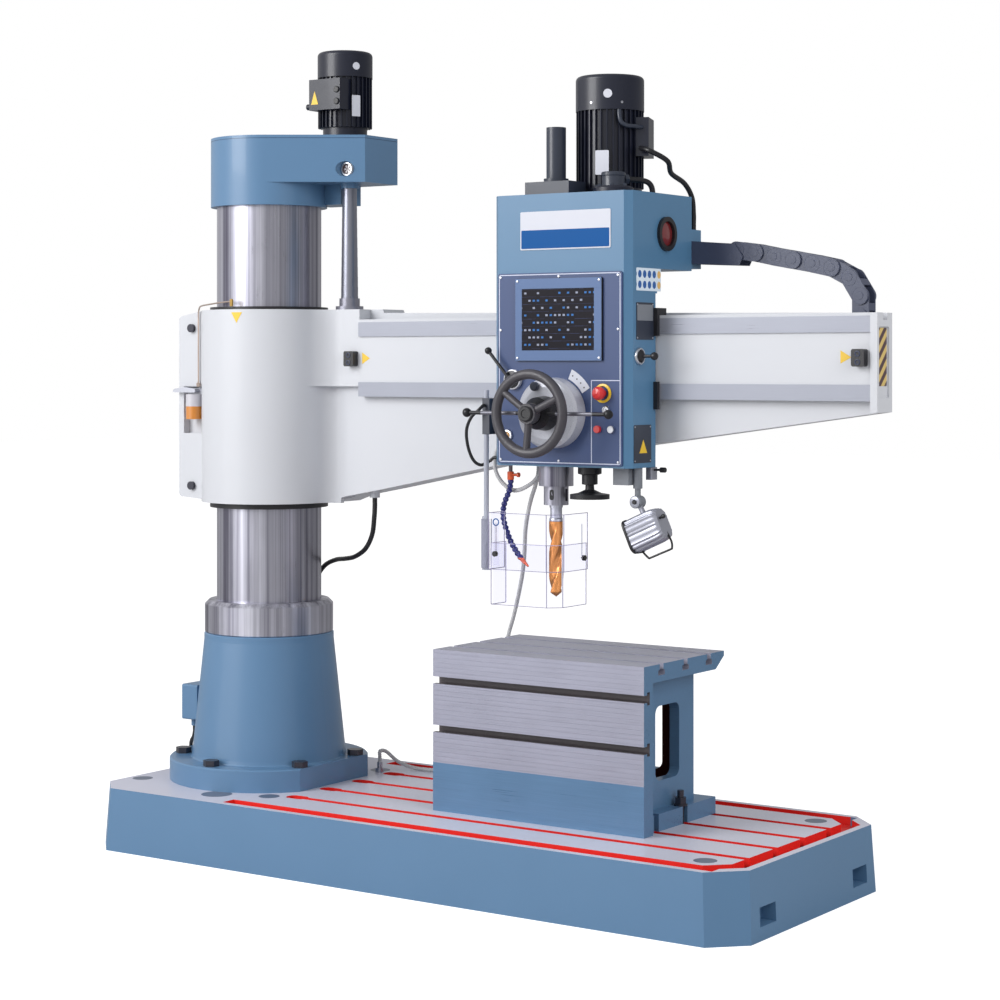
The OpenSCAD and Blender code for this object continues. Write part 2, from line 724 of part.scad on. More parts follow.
arm_cable_route = [[384, 84, 1146], [384, 84, 1132], [384, 84, 1118], [380, 86, 1080], [362, 98, 1022], [320, 116, 972],
    [262, 134, 942], [200, 160, 930], [140, 186, 922], [84, 200, 902], [52, 200, 868],
    [44, 198, 830], [44, 198, 814], [44, 198, 798.5]];
module arm_cable() {
    color(dark) tube_along(arm_cable_route, 8, 3, 8);
}

// Drill head: lower part before the arm, deeper upper part above it
module head_casting() {
    c = 20;
    hook_y = 62;
    hook_z = arm_top + 66;
    color(blue) difference() {
        union() {
            translate([0, 0, head_z]) linear_extrude(head_top - head_z) polygon([[head_x, c + head_front],
                [head_x + c, head_front], [head_x1 - c, head_front], [head_x1, head_front + c],
                [head_x1, -gap], [head_x, -gap]]);
            box([head_x, -1, hook_z], [head_x1, 9, head_top]);
            box([head_x, -1, head_mid_z], [head_x1, head_back, head_top]);
            box([head_x + 40, -1, arm_top + gap], [head_x1 - 40, way_t + 24, hook_z]);
            box([head_x + 40, way_t + gap, way_top - 11], [head_x1 - 40, way_t + 24, arm_top + 1]);
            box([head_x + 40, -1, way_low - 36], [head_x1 - 40, low_web_y - gap, way_low - gap]);
            box([head_x + 60, head_back - 1, head_mid_z + 8], [head_x1, head_back + 58, head_mid_z + 128]);
        }
        rod_z(head_z - 1, head_top - 30, spindle_x, spindle_y, quill_r + fit);
        rod_y(head_front - 1, head_front + 18, wheel_x, wheel_z, lever_shaft + fit);
        rod_z(head_z - 1, head_z + 60, fine_x, spindle_y, 13 + fit);
        rod_x(head_x1 - 12, head_x1 + 1, 60, head_top - 121, 52);
        for (b = buttons) rod_y(head_front - 1, head_front + 9, b.x, b.y, 12);
        rod_x(head_x1 - 12, head_x1 + 1, -98, stick_z, 12 + gap);
    }
}

// X and Z of the emergency stop, the start and the stop button, and the joystick's height
buttons = [[head_x1 - 88, 1500], [head_x1 - 58, 1393], [head_x1 - 106, 1393]];
stick_z = 1610;
module control_panel() {
    x0 = head_x + 23;
    x1 = head_x1 - 23;
    color([0.35, 0.42, 0.62]) difference() {
        in_xz(panel_y, head_front) round_rect(x0, head_z + 6, x1, head_z + 584, 8);
        rod_y(panel_y - 1, head_front + 1, wheel_x, wheel_z, lever_shaft + fit);
        for (b = buttons) rod_y(panel_y - 1, head_front + 1, b.x, b.y, 11 + fit);
        in_xz(panel_y - 1, head_front + 1) round_rect(head_x + 92, head_z + 318, head_x1 - 88,
            head_z + 568, 6);
    }
}

module touch_screen() {
    color(dark) in_xz(panel_y - 8, head_front) round_rect(head_x + 92 + gap,
        head_z + 318 + gap, head_x1 - 88 - gap, head_z + 568 - gap, 6);
}

module way_wipers() {
    color(dark) for (x = [head_x - 14, head_x1]) {
        box([x, -14, way_top - way_h - 6], [x + 14, -gap, arm_top + 22]);
        box([x, -gap - 1, arm_top + gap], [x + 14, way_t, arm_top + 22]);
        box([x, -14, way_low - 30], [x + 14, -gap, way_low + way_h + 6]);
    }
}

module main_motor() {
    cowl_h = 108;
    color(dark) translate([motor_x, motor_y, head_top]) {
        motor_frame(motor_r, motor_h - cowl_h, 34, 98, 22);
        translate([0, 0, motor_h - cowl_h]) cowl(motor_r + 1, cowl_h);
        rotate(22) translate([60, -52, 118]) cube([68, 104, 118]);
        rotate(22) rod_y(-70, -51, 112, 138, 11);
    }
}

module motor_conduit() {
    x0 = motor_x + 112 * cos(22) + 70 * sin(22);
    y0 = motor_y + 112 * sin(22) - 70 * cos(22);
    z0 = head_top + 138;
    d = [sin(22), -cos(22), 0];
    p = [x0, y0, z0];
    z1 = head_mid_z + 128;
    color(dark) tube_along([p, p + 10 * d, p + 20 * d, p + [48, -34, -12], p + [78, 16, -40],
        [1500, 110, head_top + 66], [1500, 190, head_top + 40], [1500, 236, head_top],
        [1500, 246, z1 + 50], [1500, 246, z1 + 20], [1500, 246, z1 + 10], [1500, 246, z1]], 8, 3, 8);
}

module spindle_cover() {
    color(dark) {
        box([spindle_x - 71, spindle_y - 65, head_top], [spindle_x + 87, spindle_y + 30, head_top + 38]);
        rod_z(head_top + 38, head_top + 50, spindle_x, spindle_y, 38);
        rod_z(head_top + 50, head_top + 206, spindle_x, spindle_y, 30);
    }
}

module oil_window() {
    color(dark) translate([head_x1 - 12, 60, head_top - 121]) rotate([0, 90, 0]) difference() {
        cylinder(h = 22, r = 52 - gap);
        translate([0, 0, 10]) cylinder(h = 20, r = 38);
    }
}

// One link: two side plates from pivot to pivot, joined by a bar above and one below.
// Every second link is narrower by two plates, so that its plates lap inside its neighbours'.
module chain_link(narrow) {
    plate = 5;
    y0 = narrow ? plate + gap : 0;
    y1 = chain_w - y0;
    for (y = [y0, y1 - plate]) in_xz(y, y + plate) {
        circle(chain_h / 2);
        translate([0, -chain_h / 2]) square([link_l, chain_h]);
        translate([link_l, 0]) circle(chain_h / 2);
    }
    for (z = [-chain_h / 2, chain_h / 2 - 4])
        translate([link_l / 2 - 11, y0 + 1, z]) cube([22, y1 - y0 - 2, 4]);
    if (!narrow) for (x = [0, link_l], y = [-1.5, chain_w - 1]) in_xz(y, y + 2.5)
        translate([x, 0]) circle(9);
}

module cable_chain() {
    color([0.3, 0.31, 0.36]) for (k = [0:len(chain_turn) - 1]) let (p = chain_sum(k))
        translate([p.x, chain_y0, p.y]) rotate([0, -chain_turn[k], 0]) chain_link(k % 2 == 1);
    color(dark) difference() {
        in_xz(chain_y0 - 6, chain_y0 + chain_w + 6) polygon([[head_x1, head_mid_z + 22],
            [head_x1 + 165, head_mid_z + 14], [head_x1 + 178, head_mid_z + 40],
            [head_x1 + 150, head_mid_z + 80], [head_x1, head_mid_z + 92]]);
        box([head_x1 + 30, chain_y0 - 1.8, head_mid_z - 1], [head_x1 + 200, chain_y0 + chain_w + 1.8,
            head_mid_z + 100]);
    }
}

lamp_x = 1490;
lamp_y = -70;
module lamp_bracket() {
    color(grey) {
        box([lamp_x - 66, lamp_y - 34, head_z - 52], [lamp_x - 12, lamp_y + 20, head_z]);
        difference() {
            rod_z(head_z - 62, head_z, lamp_x, lamp_y, 14);
            rod_z(head_z - 63, head_z - 39, lamp_x, lamp_y, 9 + fit);
        }
    }
}

lamp_ball = [lamp_x, lamp_y, head_z - 102];
lamp_tilt = 24;
module lamp_arm() {
    color(grey) {
        rod_z(lamp_ball.z, head_z - 40, lamp_x, lamp_y, 9);
        rod_y(lamp_y - 16, lamp_y + 16, lamp_ball.x, lamp_ball.z, 19);
    }
}

module lamp_head() {
    color([0.7, 0.71, 0.73]) translate(lamp_ball) rotate([0, -lamp_tilt, 0]) {
        for (s = [-1, 1]) box([-12, s > 0 ? 16 + gap : -24 - gap, -46], [16, s > 0 ? 24 + gap : -16 - gap, 10]);
        translate([-60.5, -62, -153]) difference() {
            cube([126, 124, 116]);
            translate([10, 10, -1]) cube([106, 104, 12]);
        }
    }
}

nozzle_route = [[1042, -85, 1240], [1042, -85, 1222], [1036, -85, 1195], [1020, -85, 1160],
    [1014, -85, 1130], [1018, -85, 1098], [1040, -85, 1045], [1072, -85, 1000], [1108, -85, 966]];
module coolant_nozzle() {
    color([0.9, 0.4, 0.2]) rod_z(1240, head_z, 1042, -85, 11);
    color([0.2, 0.25, 0.6]) tube_along(nozzle_route, 8, 3, 8);
}

head_hose_route = [[1128, -40, 1278], [1128, -40, 1270], [1128, -40, 1262], [1110, -54, 1228],
    [1086, -68, 1208], [1054, -68, 1197], [1024, -62, 1200], [992, -62, 1222], [972, -64, 1254],
    [968, -64, 1290], [976, -64, 1318], [988, -64, 1334], [1002, -64, 1340], [1011, -64, 1340], [1020, -64, 1340]];
module head_hose() {
    color([0.75, 0.75, 0.74]) tube_along(head_hose_route, 7, 3, 8);
}

rod_x0 = 1003;
rod_y0 = -160;
rod_r = 8;
rod_low = 962;
module guard_rod() {
    color(steel) {
        rod_z(rod_low, 1507, rod_x0, rod_y0, rod_r);
        rod_z(rod_low - 6, rod_low, rod_x0, rod_y0, rod_r + 5);
        rod_z(guard_hub_z + guard_hub_h + gap, guard_hub_z + guard_hub_h + 8, rod_x0, rod_y0, rod_r + 5);
    }
    color(dark) box([rod_x0 - 9, rod_y0 - 9, 1372], [head_x, rod_y0 + 40, 1482]);
}

switch_route = [[1003, -169, 1460], [1003, -173, 1460], [1003, -178, 1460], [996, -192, 1446], [972, -196, 1424],
    [950, -190, 1386], [944, -176, 1338], [952, -160, 1294], [968, -142, 1276], [988, -126, 1286],
    [1002, -120, 1298], [1011, -120, 1298], [1020, -120, 1298]];
module switch_cable() {
    color(dark) tube_along(switch_route, 5, 3, 8);
}

// Clear guard in plan: two bends and a chamfered corner, with one end by the rod
guard_t = 5;
guard_x0 = spindle_x - 150;
guard_x1 = spindle_x + 97;
guard_y = -220;
guard_bend = 38;
guard_hub_z = rod_low + gap;
guard_hub_h = 150;
function guard_line(g) = let (k = g * tan(22.5)) [[guard_x0 - g, guard_y + 84],
    [guard_x0 - g, guard_y - g], [guard_x1 - guard_bend + k, guard_y - g],
    [guard_x1 + g, guard_y + guard_bend - k], [guard_x1 + g, guard_y + 170]];
module guard_sheet(z0, z1, g) {
    back = guard_line(g - guard_t);
    translate([0, 0, z0]) linear_extrude(z1 - z0)
        polygon(concat(guard_line(g), [for (k = [len(back) - 1:-1:0]) back[k]]));
}

module guard_upper() {
    hub_r = rod_r + 8;
    color([0.85, 0.9, 0.95, 0.4]) guard_sheet(head_z - 313, head_z - 141, 0);
    color(steel) difference() {
        union() {
            rod_z(guard_hub_z, guard_hub_z + guard_hub_h, rod_x0, rod_y0, hub_r);
            box([rod_x0, rod_y0 - 4, guard_hub_z + 10], [guard_x0, rod_y0 + 4, guard_hub_z + guard_hub_h - 10]);
        }
        rod_z(guard_hub_z - 1, guard_hub_z + guard_hub_h + 1, rod_x0, rod_y0, rod_r + fit);
    }
}

module guard_lower() {
    color([0.85, 0.9, 0.95, 0.4]) guard_sheet(head_z - 420, head_z - 233, -guard_t - gap);
}

module dial_drum() {
    r = lever_shaft + fit;
    color(steel) rotate_about_y(wheel_x, wheel_z, panel_y) polygon([[r, 0], [106, 0],
        [106, drum_t - 16], [98, drum_t - 8], [78, drum_t], [r, drum_t]]);
}

// A profile of radius and depth turned about an axis along Y, growing to the front
module rotate_about_y(x, z, y) {
    translate([x, y, z]) rotate([90, 0, 0]) rotate_extrude() children();
}

module feed_levers() {
    r = wheel_shaft + fit;
    y0 = drum_t + gap;
    inner = panel_t + 16;
    color(dark) {
        rotate_about_y(wheel_x, wheel_z, panel_y) polygon([[r, -inner], [lever_shaft, -inner],
            [lever_shaft, y0], [52, y0], [48, y0 + 44], [32, y0 + 66], [r, y0 + 66]]);
        rod_x(wheel_x - lever_l, wheel_x - 24, lever_y, wheel_z, 6);
        rod_x(wheel_x + 24, wheel_x + lever_l, lever_y, wheel_z, 6);
        for (s = [-1, 1]) translate([wheel_x + s * lever_l, lever_y, wheel_z]) sphere(14);
    }
}

module traverse_wheel() {
    color(grey) {
        difference() {
            union() {
                rotate_about_y(wheel_x, wheel_z, wheel_y) translate([wheel_r - 15, 0]) circle(15);
                rod_y(wheel_y - 16, wheel_y + 14, wheel_x, wheel_z, 30);
                for (a = [25, 145, 265]) translate([wheel_x, wheel_y, wheel_z]) rotate([0, -a, 0])
                    rod_x(20, wheel_r - 15, 0, 0, 11);
                rod_y(wheel_y, head_front + 15, wheel_x, wheel_z, wheel_shaft);
            }
        }
    }
}

module fine_wheel() {
    color(dark) translate([fine_x, spindle_y, 0]) rotate_extrude() polygon([[0, head_z - 98],
        [fine_r, head_z - 98], [fine_r, head_z - 84], [fine_r - 24, head_z - 80], [14, head_z - 70],
        [13, head_z - 56], [24, head_z - 54], [24, head_z - 26], [36, head_z - 22], [36, head_z - gap],
        [13, head_z - gap], [13, head_z + 50], [0, head_z + 50]]);
}

module quill() {
    color(steel) difference() {
        rod_z(head_z - 62, head_top - 60, spindle_x, spindle_y, quill_r);
        rod_z(head_z - 63, head_top - 59, spindle_x, spindle_y, 34);
    }
}

module spindle() {
    z = head_z - 62;
    color(steel) difference() {
        union() {
            rod_z(z - 58, z - gap, spindle_x, spindle_y, 38);
            rod_z(z - gap - 1, head_top - 40, spindle_x, spindle_y, 34 - fit);
        }
        box([spindle_x - 60, spindle_y - 6, z - 46], [spindle_x + 60, spindle_y + 6, z - 8]);
    }
}

module drill_bit() {
    z = head_z - 120;
    color([0.82, 0.62, 0.25]) {
        rod_z(z - 34, z - gap, spindle_x, spindle_y, 20);
        rod_z(z - 34 - drill_l + 14, z - 34, spindle_x, spindle_y, drill_d / 2);
        translate([spindle_x, spindle_y, z - 34 - drill_l]) cylinder(h = 14, r1 = 1, r2 = drill_d / 2);
    }
}

module stop_mushroom() {
    color([0.85, 0.1, 0.1]) rotate_about_y(buttons[0].x, buttons[0].y, head_front - 1) polygon([[0, 0], [11, 0], [11, 22],
        [20, 26], [20, 36], [14, 44], [0, 46]]);
}

module push_button(b) {
    rotate_about_y(b.x, b.y, head_front - 1) polygon([[0, 0], [11, 0], [11, 14], [10, 15], [0, 15]]);
}

module start_button() {
    color(steel) push_button(buttons[1]);
}

module stop_button() {
    color([0.85, 0.2, 0.2]) push_button(buttons[2]);
}

module selector_lever() {
    color(steel) {
        rotate_about_y(1103, 1540, panel_y - gap) polygon([[0, 0], [30, 0], [30, 12], [12, 16],
            [12, 30], [0, 30]]);
    }
    color(dark) translate([1103, panel_y - 24, 1540]) rotate([0, -132, 0]) {
        rod_x(10, 112, 0, 0, 5);
        translate([118, 0, 0]) sphere(11);
    }
}

module joystick() {
    color(dark) {
        rod_y(-106, -90, head_x1, stick_z, 9);
        rod_x(head_x1, head_x1 + 46, -98, stick_z, 5);
        translate([head_x1 + 54, -98, stick_z]) sphere(12);
    }
}

base_plate();
foundation_caps();
column_stand();
stand_bolts();
inner_column();
column_bearings();
mains_box();
mains_cable();
box_table();
table_bolts();
hose_fitting();
coolant_hose();
outer_column();
clamp_ring();
column_housing();
housing_lid();
lift_motor();
sight_glass();
elevating_screw();
screw_cover();
arm_casting();
arm_ways();
sleeve_wipers();
clamp_bolts();
arm_stops();
lift_nut();
lubricator();
lubricator_lever();
chain_trough();
arm_cable();
head_casting();
control_panel();
touch_screen();
way_wipers();
main_motor();
motor_conduit();
spindle_cover();
oil_window();
cable_chain();
lamp_bracket();
coolant_nozzle();
head_hose();
guard_rod();
switch_cable();
dial_drum();
quill();
spindle();
drill_bit();
traverse_wheel();
feed_levers();
fine_wheel();
stop_mushroom();
start_button();
stop_button();
selector_lever();
joystick();
guard_upper();
guard_lower();
lamp_arm();
lamp_head();
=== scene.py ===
# %% [markdown]
# # A radial arm drill, dressed
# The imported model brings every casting, shaft and lever at its real size. This notebook adds what a
# solid model leaves out: the paints and machined finishes, the small fittings, the cables, and the
# light of a plain studio. Everything is in metres: X runs out along the arm, Y to the back, Z up.

# %% Load the machine
import json
import math
import bpy
import numpy as np
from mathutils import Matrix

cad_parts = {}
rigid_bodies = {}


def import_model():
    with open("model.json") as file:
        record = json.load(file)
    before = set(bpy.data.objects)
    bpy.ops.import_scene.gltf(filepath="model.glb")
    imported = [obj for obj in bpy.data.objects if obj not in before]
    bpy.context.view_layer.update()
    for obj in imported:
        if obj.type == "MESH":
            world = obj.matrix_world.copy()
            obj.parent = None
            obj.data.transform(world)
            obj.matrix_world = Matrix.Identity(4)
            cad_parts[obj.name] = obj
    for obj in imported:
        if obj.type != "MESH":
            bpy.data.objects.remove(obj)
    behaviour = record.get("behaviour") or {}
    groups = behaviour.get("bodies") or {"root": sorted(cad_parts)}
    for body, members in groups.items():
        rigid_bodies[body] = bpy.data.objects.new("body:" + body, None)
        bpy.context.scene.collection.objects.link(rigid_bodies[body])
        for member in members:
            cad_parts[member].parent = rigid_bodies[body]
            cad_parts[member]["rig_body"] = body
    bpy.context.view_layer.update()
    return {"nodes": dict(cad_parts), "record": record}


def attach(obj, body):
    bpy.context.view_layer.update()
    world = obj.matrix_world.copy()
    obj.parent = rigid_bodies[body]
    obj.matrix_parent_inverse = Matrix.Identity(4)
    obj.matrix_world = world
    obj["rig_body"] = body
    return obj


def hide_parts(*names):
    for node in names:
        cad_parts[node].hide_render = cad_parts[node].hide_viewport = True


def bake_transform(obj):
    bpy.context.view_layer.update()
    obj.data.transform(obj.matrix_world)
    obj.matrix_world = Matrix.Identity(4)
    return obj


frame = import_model()
nodes = frame["nodes"]

# %% [markdown]
# ## The camera
# The photograph was taken with a long lens from far in front and to the right, at about the height of
# the arm. The camera is level, so uprights stay parallel, and a vertical lens shift brings the floor
# into view, as a product photographer would do with a view camera.

# %% Camera at the photograph's viewpoint
def new_object(name, data):
    """An object in the scene's collection, with its origin at the machine's."""
    obj = bpy.data.objects.new(name, data)
    bpy.context.scene.collection.objects.link(obj)
    return obj


camera_data = bpy.data.cameras.new("photo_camera")
camera_data.lens = 83.04
camera_data.sensor_width = 36
camera_data.shift_y = -0.135
camera_data.clip_end = 60
camera = new_object("photo_camera", camera_data)
camera.location = (5.044, -5.966, 1.584)
camera.rotation_euler = (math.radians(90), 0, math.radians(34.5))
bpy.context.scene.camera = camera
print("camera", tuple(camera.location))

# %% [markdown]
# ## Places and directions
# These say where the machine's axes and faces are, in metres, for the fittings that sit on or round
# them. Each is written once, so that a fitting and the marks beside it can't drift apart.

# %% Axes, faces and directions
FRONT, RIGHT, UP = (0, -1, 0), (1, 0, 0), (0, 0, 1)
# X and Y of upright axes
SPINDLE, PUMP = (1.203, -0.075), (1.412, -0.082)
MAIN_MOTOR, LIFT_MOTOR, LIFT_SCREW = (1.312, 0.060), (0.232, 0.118), (0.289, 0.070)
# X and Z of axes that run from front to back
WHEEL, SELECTOR, SIGHT_GLASS = (1.254, 1.440), (1.103, 1.540), (0.330, 2.229)
LAMP_JOINT = (1.490, -0.070, 1.176)
# Y of the head's face, of the panel on it and of the screen's frame
HEAD_FACE, PANEL, FRAME = -0.1501, -0.1561, -0.1641
# X of the head's right side, Z of its top
SIDE, HEAD_TOP = 1.5101, 2.1012
print("wheel axis at", WHEEL, "spindle axis at", SPINDLE)

# %% [markdown]
# ## Surfaces from arrays
# Every new piece starts as a grid of points worked out in one go: rows along the piece, and points
# round each row. Ready-made shapes and modifiers could do it too, but a formula keeps every size in
# sight. Both ends are closed with one face each, apart from rings that stand on a face.

# %% Grid surfaces
SHARP_EDGE = math.radians(35)  # faces that meet at more than this keep a crisp edge


def unit(v):
    """Each row divided by its length."""
    v = np.asarray(v, float)
    return v / np.linalg.norm(v, axis=-1, keepdims=True)


def face_outwards(mesh):
    """Turns the faces round where the enclosed volume, the sum of a . (b x c) / 6, is negative."""
    co = np.zeros(len(mesh.vertices) * 3)
    mesh.vertices.foreach_get("co", co)
    mesh.calc_loop_triangles()
    tri = np.zeros(len(mesh.loop_triangles) * 3, int)
    mesh.loop_triangles.foreach_get("vertices", tri)
    p = co.reshape(-1, 3)[tri].reshape(-1, 3, 3)
    if np.einsum("ij,ij->i", p[:, 0], np.cross(p[:, 1], p[:, 2])).sum() < 0:
        mesh.flip_normals()


def solid(name, points, faces, body, material, smooth=True, slot=None):
    """Faces over an array of points as an object that rides on a body of the machine."""
    mesh = bpy.data.meshes.new(name)
    mesh.from_pydata(points.reshape(-1, 3).tolist(), [], faces)
    mesh.validate()
    face_outwards(mesh)
    if smooth:
        mesh.shade_smooth()
        mesh.set_sharp_from_angle(angle=SHARP_EDGE)
    mesh.materials.append(material)
    obj = new_object(name, mesh)
    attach(obj, body)
    return obj


def surface(name, grid, body, material, caps=True, **more):
    """Quads between neighbours of an (n, m, 3) grid, closed round m; rows 0 and n-1 get end caps."""
    n, m = grid.shape[:2]
    i, j = np.meshgrid(np.arange(n - 1), np.arange(m), indexing="ij")
    k = (j + 1) % m
    quads = np.stack([i * m + j, i * m + k, (i + 1) * m + k, (i + 1) * m + j], -1).reshape(-1, 4)
    faces = quads.tolist()
    if caps:
        faces += [list(range(m))[::-1], [(n - 1) * m + c for c in range(m)]]
    return solid(name, grid, faces, body, material, **more)


print("surfaces ready")

# %% [markdown]
# ## Turned pieces, tubes and lines
# Most fittings are turned: a profile of radius and height goes round an axis. Cables and pipes are a
# circle carried along a smooth curve, with directions that never spin from one ring to the next. A
# curve object with a bevel could do it too, but points in an array can be measured and respaced before
# the mesh is made, which ribs and balls need.

# %% Turned pieces and tubes
def basis(axis):
    """Two unit directions square to an axis."""
    axis = unit(axis)
    side = unit(np.cross(axis, (0, 0, 1) if abs(axis[2]) < 0.9 else (1, 0, 0)))
    return side, np.cross(axis, side)


def turned(name, profile, at, axis, body, material, sides=48, **more):
    """A profile of (radius, height) pairs turned about an axis through a point."""
    profile = np.array(profile, float)
    a = np.linspace(0, 2 * math.pi, sides, endpoint=False)
    s, t = basis(axis)
    ring = np.cos(a)[:, None] * s + np.sin(a)[:, None] * t
    r = np.maximum(profile[:, 0], 1e-5)
    grid = np.array(at) + r[:, None, None] * ring + profile[:, 1][:, None, None] * unit(axis)
    return surface(name, grid, body, material, **more)


def stud(name, steps, *where, **more):
    """A turned piece with flat ends: the (radius, height) steps go in to the axis at both."""
    return turned(name, [(0, steps[0][1]), *steps, (0, steps[-1][1])], *where, **more)


def route(points, steps=6):
    """A smooth curve through the points: Catmull-Rom, cubic between each pair."""
    p = np.array(points, float)
    p = np.vstack([p[:1], p, p[-1:]])
    t = np.linspace(0, 1, steps, endpoint=False)[:, None]
    out = [0.5 * (2 * b + (c - a) * t + (2 * a - 5 * b + 4 * c - d) * t**2
                  + (3 * b - a - 3 * c + d) * t**3)
           for a, b, c, d in zip(p[:-3], p[1:-2], p[2:-1], p[3:])]
    return np.vstack(out + [p[-1:]])


def frames_along(q):
    """A side and an up direction at each point, carried along so that they never spin."""
    t = unit(np.gradient(q, axis=0))
    side = [basis(t[0])[0]]
    for h in t[1:]:
        side.append(unit(side[-1] - h * (side[-1] @ h)))
    side = np.array(side)
    return side, np.cross(t, side)


def tube(name, q, radius, body, material, sides=16, **more):
    """A circle of the given radius, or of one radius a ring, carried along the points q."""
    s, u = frames_along(q)
    a = np.linspace(0, 2 * math.pi, sides, endpoint=False)
    r = np.broadcast_to(np.asarray(radius, float), (len(q),))[:, None, None]
    grid = q[:, None] + r * (np.cos(a)[:, None] * s[:, None] + np.sin(a)[:, None] * u[:, None])
    return surface(name, grid, body, material, **more)


def run_length(q):
    """The distance from the first point to each, measured along the line."""
    return np.concatenate([[0], np.cumsum(np.linalg.norm(np.diff(q, axis=0), axis=1))])


def respaced(q, at):
    """Points of the line q at the given distances along it."""
    along = run_length(q)
    return np.stack([np.interp(at, along, q[:, c]) for c in range(3)], 1)


print("turned pieces and tubes ready")

# %% [markdown]
# ## Plates and wires
# A plate is an outline made thick, with a fine chamfer that catches the light as a real edge does. A
# Bevel modifier could cut it, but one more row of points does the same with fewer faces. The clear
# guard's edges are thin square bars, and all of one sheet's bars share a mesh.

# %% Plates and wires
def rounded(x0, z0, x1, z1, r, n=5):
    """The outline of a rectangle whose corners are quarter circles."""
    a = np.linspace(0, math.pi / 2, n)
    corners = [(x1 - r, z1 - r, 0), (x0 + r, z1 - r, 1), (x0 + r, z0 + r, 2), (x1 - r, z0 + r, 3)]
    return np.vstack([np.stack([cx + r * np.cos(a + k * math.pi / 2),
                                cz + r * np.sin(a + k * math.pi / 2)], 1) for cx, cz, k in corners])


def plate(name, outline, low, high, out, body, material, edge=0.0015, **more):
    """An outline made thick along out, with a small chamfer of width edge round its outer face.
    The outline's two numbers run along the other two axes, in the order X, Y, Z."""
    outline = np.array(outline, float)
    centre = (outline.min(0) + outline.max(0)) / 2
    size = np.maximum((outline.max(0) - outline.min(0)) / 2, 1e-6)
    inner = centre + (outline - centre) * (1 - edge / size)
    shoulder = high - edge if high > low else high + edge
    k = "xyz".index(out)
    others = [c for c in range(3) if c != k]
    grid = np.zeros((3, len(outline), 3))
    for row, (shape, level) in enumerate([(outline, low), (outline, shoulder), (inner, high)]):
        grid[row][:, others] = shape
        grid[row][:, k] = level
    return surface(name, grid, body, material, **more)


def wires(name, legs, width, body, material):
    """Thin square bars along straight legs, all in one mesh: each has two rings of four corners."""
    legs = np.array(legs, float)
    a, b = legs[:, :1], legs[:, 1:]
    d = unit(b - a)
    s = unit(np.cross(d, np.where(np.abs(d[..., 2:]) < 0.9, (0, 0, 1), (1, 0, 0))))
    u = np.cross(d, s)
    k = np.array([(1, 1), (-1, 1), (-1, -1), (1, -1)]) * width / 2
    ring = k[None, :, :1] * s + k[None, :, 1:] * u
    bar = np.array([(0, 3, 2, 1), (4, 5, 6, 7), (0, 1, 5, 4), (1, 2, 6, 5), (2, 3, 7, 6), (3, 0, 4, 7)])
    faces = (bar + 8 * np.arange(len(legs))[:, None, None]).reshape(-1, 4).tolist()
    return solid(name, np.stack([a + ring, b + ring], 1), faces, body, material, smooth=False)


def round_from(centre, radius, degrees):
    """Both coordinates of points at a radius and at angles round a centre."""
    a = np.radians(degrees)
    return np.stack([centre[0] + radius * np.cos(a), centre[1] + radius * np.sin(a)], -1)


def circle(x, z, r, n=32):
    """A circle's outline."""
    return round_from((x, z), r, np.linspace(0, 360, n, endpoint=False))


print("plates and wires ready")

# %% [markdown]
# ## Effects that several finishes share
# Paint, ground steel and cast iron differ mostly in small things: the orange peel in a paint film, the
# fine lines that a grinding wheel leaves, a little dust in the hollows. Peel and lines are each a node
# group, built once, and given its own scale and strength in every finish; no dust is drawn.

# %% Node group helpers
def new_group(name, inputs, outputs):
    """A shader group with the given (name, kind, default) inputs and (name, kind) outputs."""
    g = bpy.data.node_groups.new(name, "ShaderNodeTree")
    for label, kind, default in inputs:
        s = g.interface.new_socket(name=label, in_out="INPUT", socket_type=kind)
        s.default_value = default
    for label, kind in outputs:
        g.interface.new_socket(name=label, in_out="OUTPUT", socket_type=kind)
    return g, g.nodes.new("NodeGroupInput"), g.nodes.new("NodeGroupOutput")


def add(tree, kind, settings=None, **links):
    """A node, its settings, and its inputs by name: a socket is linked and a value is set."""
    node = tree.nodes.new(kind)
    for key, value in (settings or {}).items():
        setattr(node, key, value)
    for key, value in links.items():
        socket = node.inputs[int(key[1:])] if key[0] == "i" and key[1:].isdigit() else \
            node.inputs[key.replace("_", " ")]
        if isinstance(value, bpy.types.NodeSocket):
            tree.links.new(value, socket)
        else:
            socket.default_value = value
    return node


def math_node(tree, op, a, b=0.0, c=0.0):
    """One arithmetic step."""
    return add(tree, "ShaderNodeMath", {"operation": op}, i0=a, i1=b, i2=c).outputs[0]


def place(tree):
    """Object coordinates: the machine's own frame, in metres."""
    return add(tree, "ShaderNodeTexCoord").outputs["Object"]


def parts_of(t):
    """X, Y and Z of the point being shaded."""
    return add(t, "ShaderNodeSeparateXYZ", Vector=place(t)).outputs[:3]


def facing(t):
    """X, Y and Z of the direction that the surface faces."""
    normal = add(t, "ShaderNodeNewGeometry").outputs["Normal"]
    return add(t, "ShaderNodeSeparateXYZ", Vector=normal).outputs[:3]


def minus(t, a, b):
    """a - b."""
    return math_node(t, "SUBTRACT", a, b)


def reach(t, a, b):
    """sqrt(a a + b b), the distance of a point whose two offsets are a and b."""
    squares = [math_node(t, "MULTIPLY", v, v) for v in (a, b)]
    return math_node(t, "SQRT", math_node(t, "ADD", *squares))


def above(t, value, limit):
    """1 where the value is over the limit."""
    return math_node(t, "GREATER_THAN", value, limit)


def times(t, *masks):
    """All masks together."""
    total = masks[0]
    for m in masks[1:]:
        total = math_node(t, "MULTIPLY", total, m)
    return total


def cells(t, value, start, pitch):
    """Steps of one pitch along a coordinate, and the offset from the middle of the present step."""
    u = math_node(t, "MULTIPLY", minus(t, value, start), 1 / pitch)
    return u, minus(t, math_node(t, "FRACT", u), 0.5)


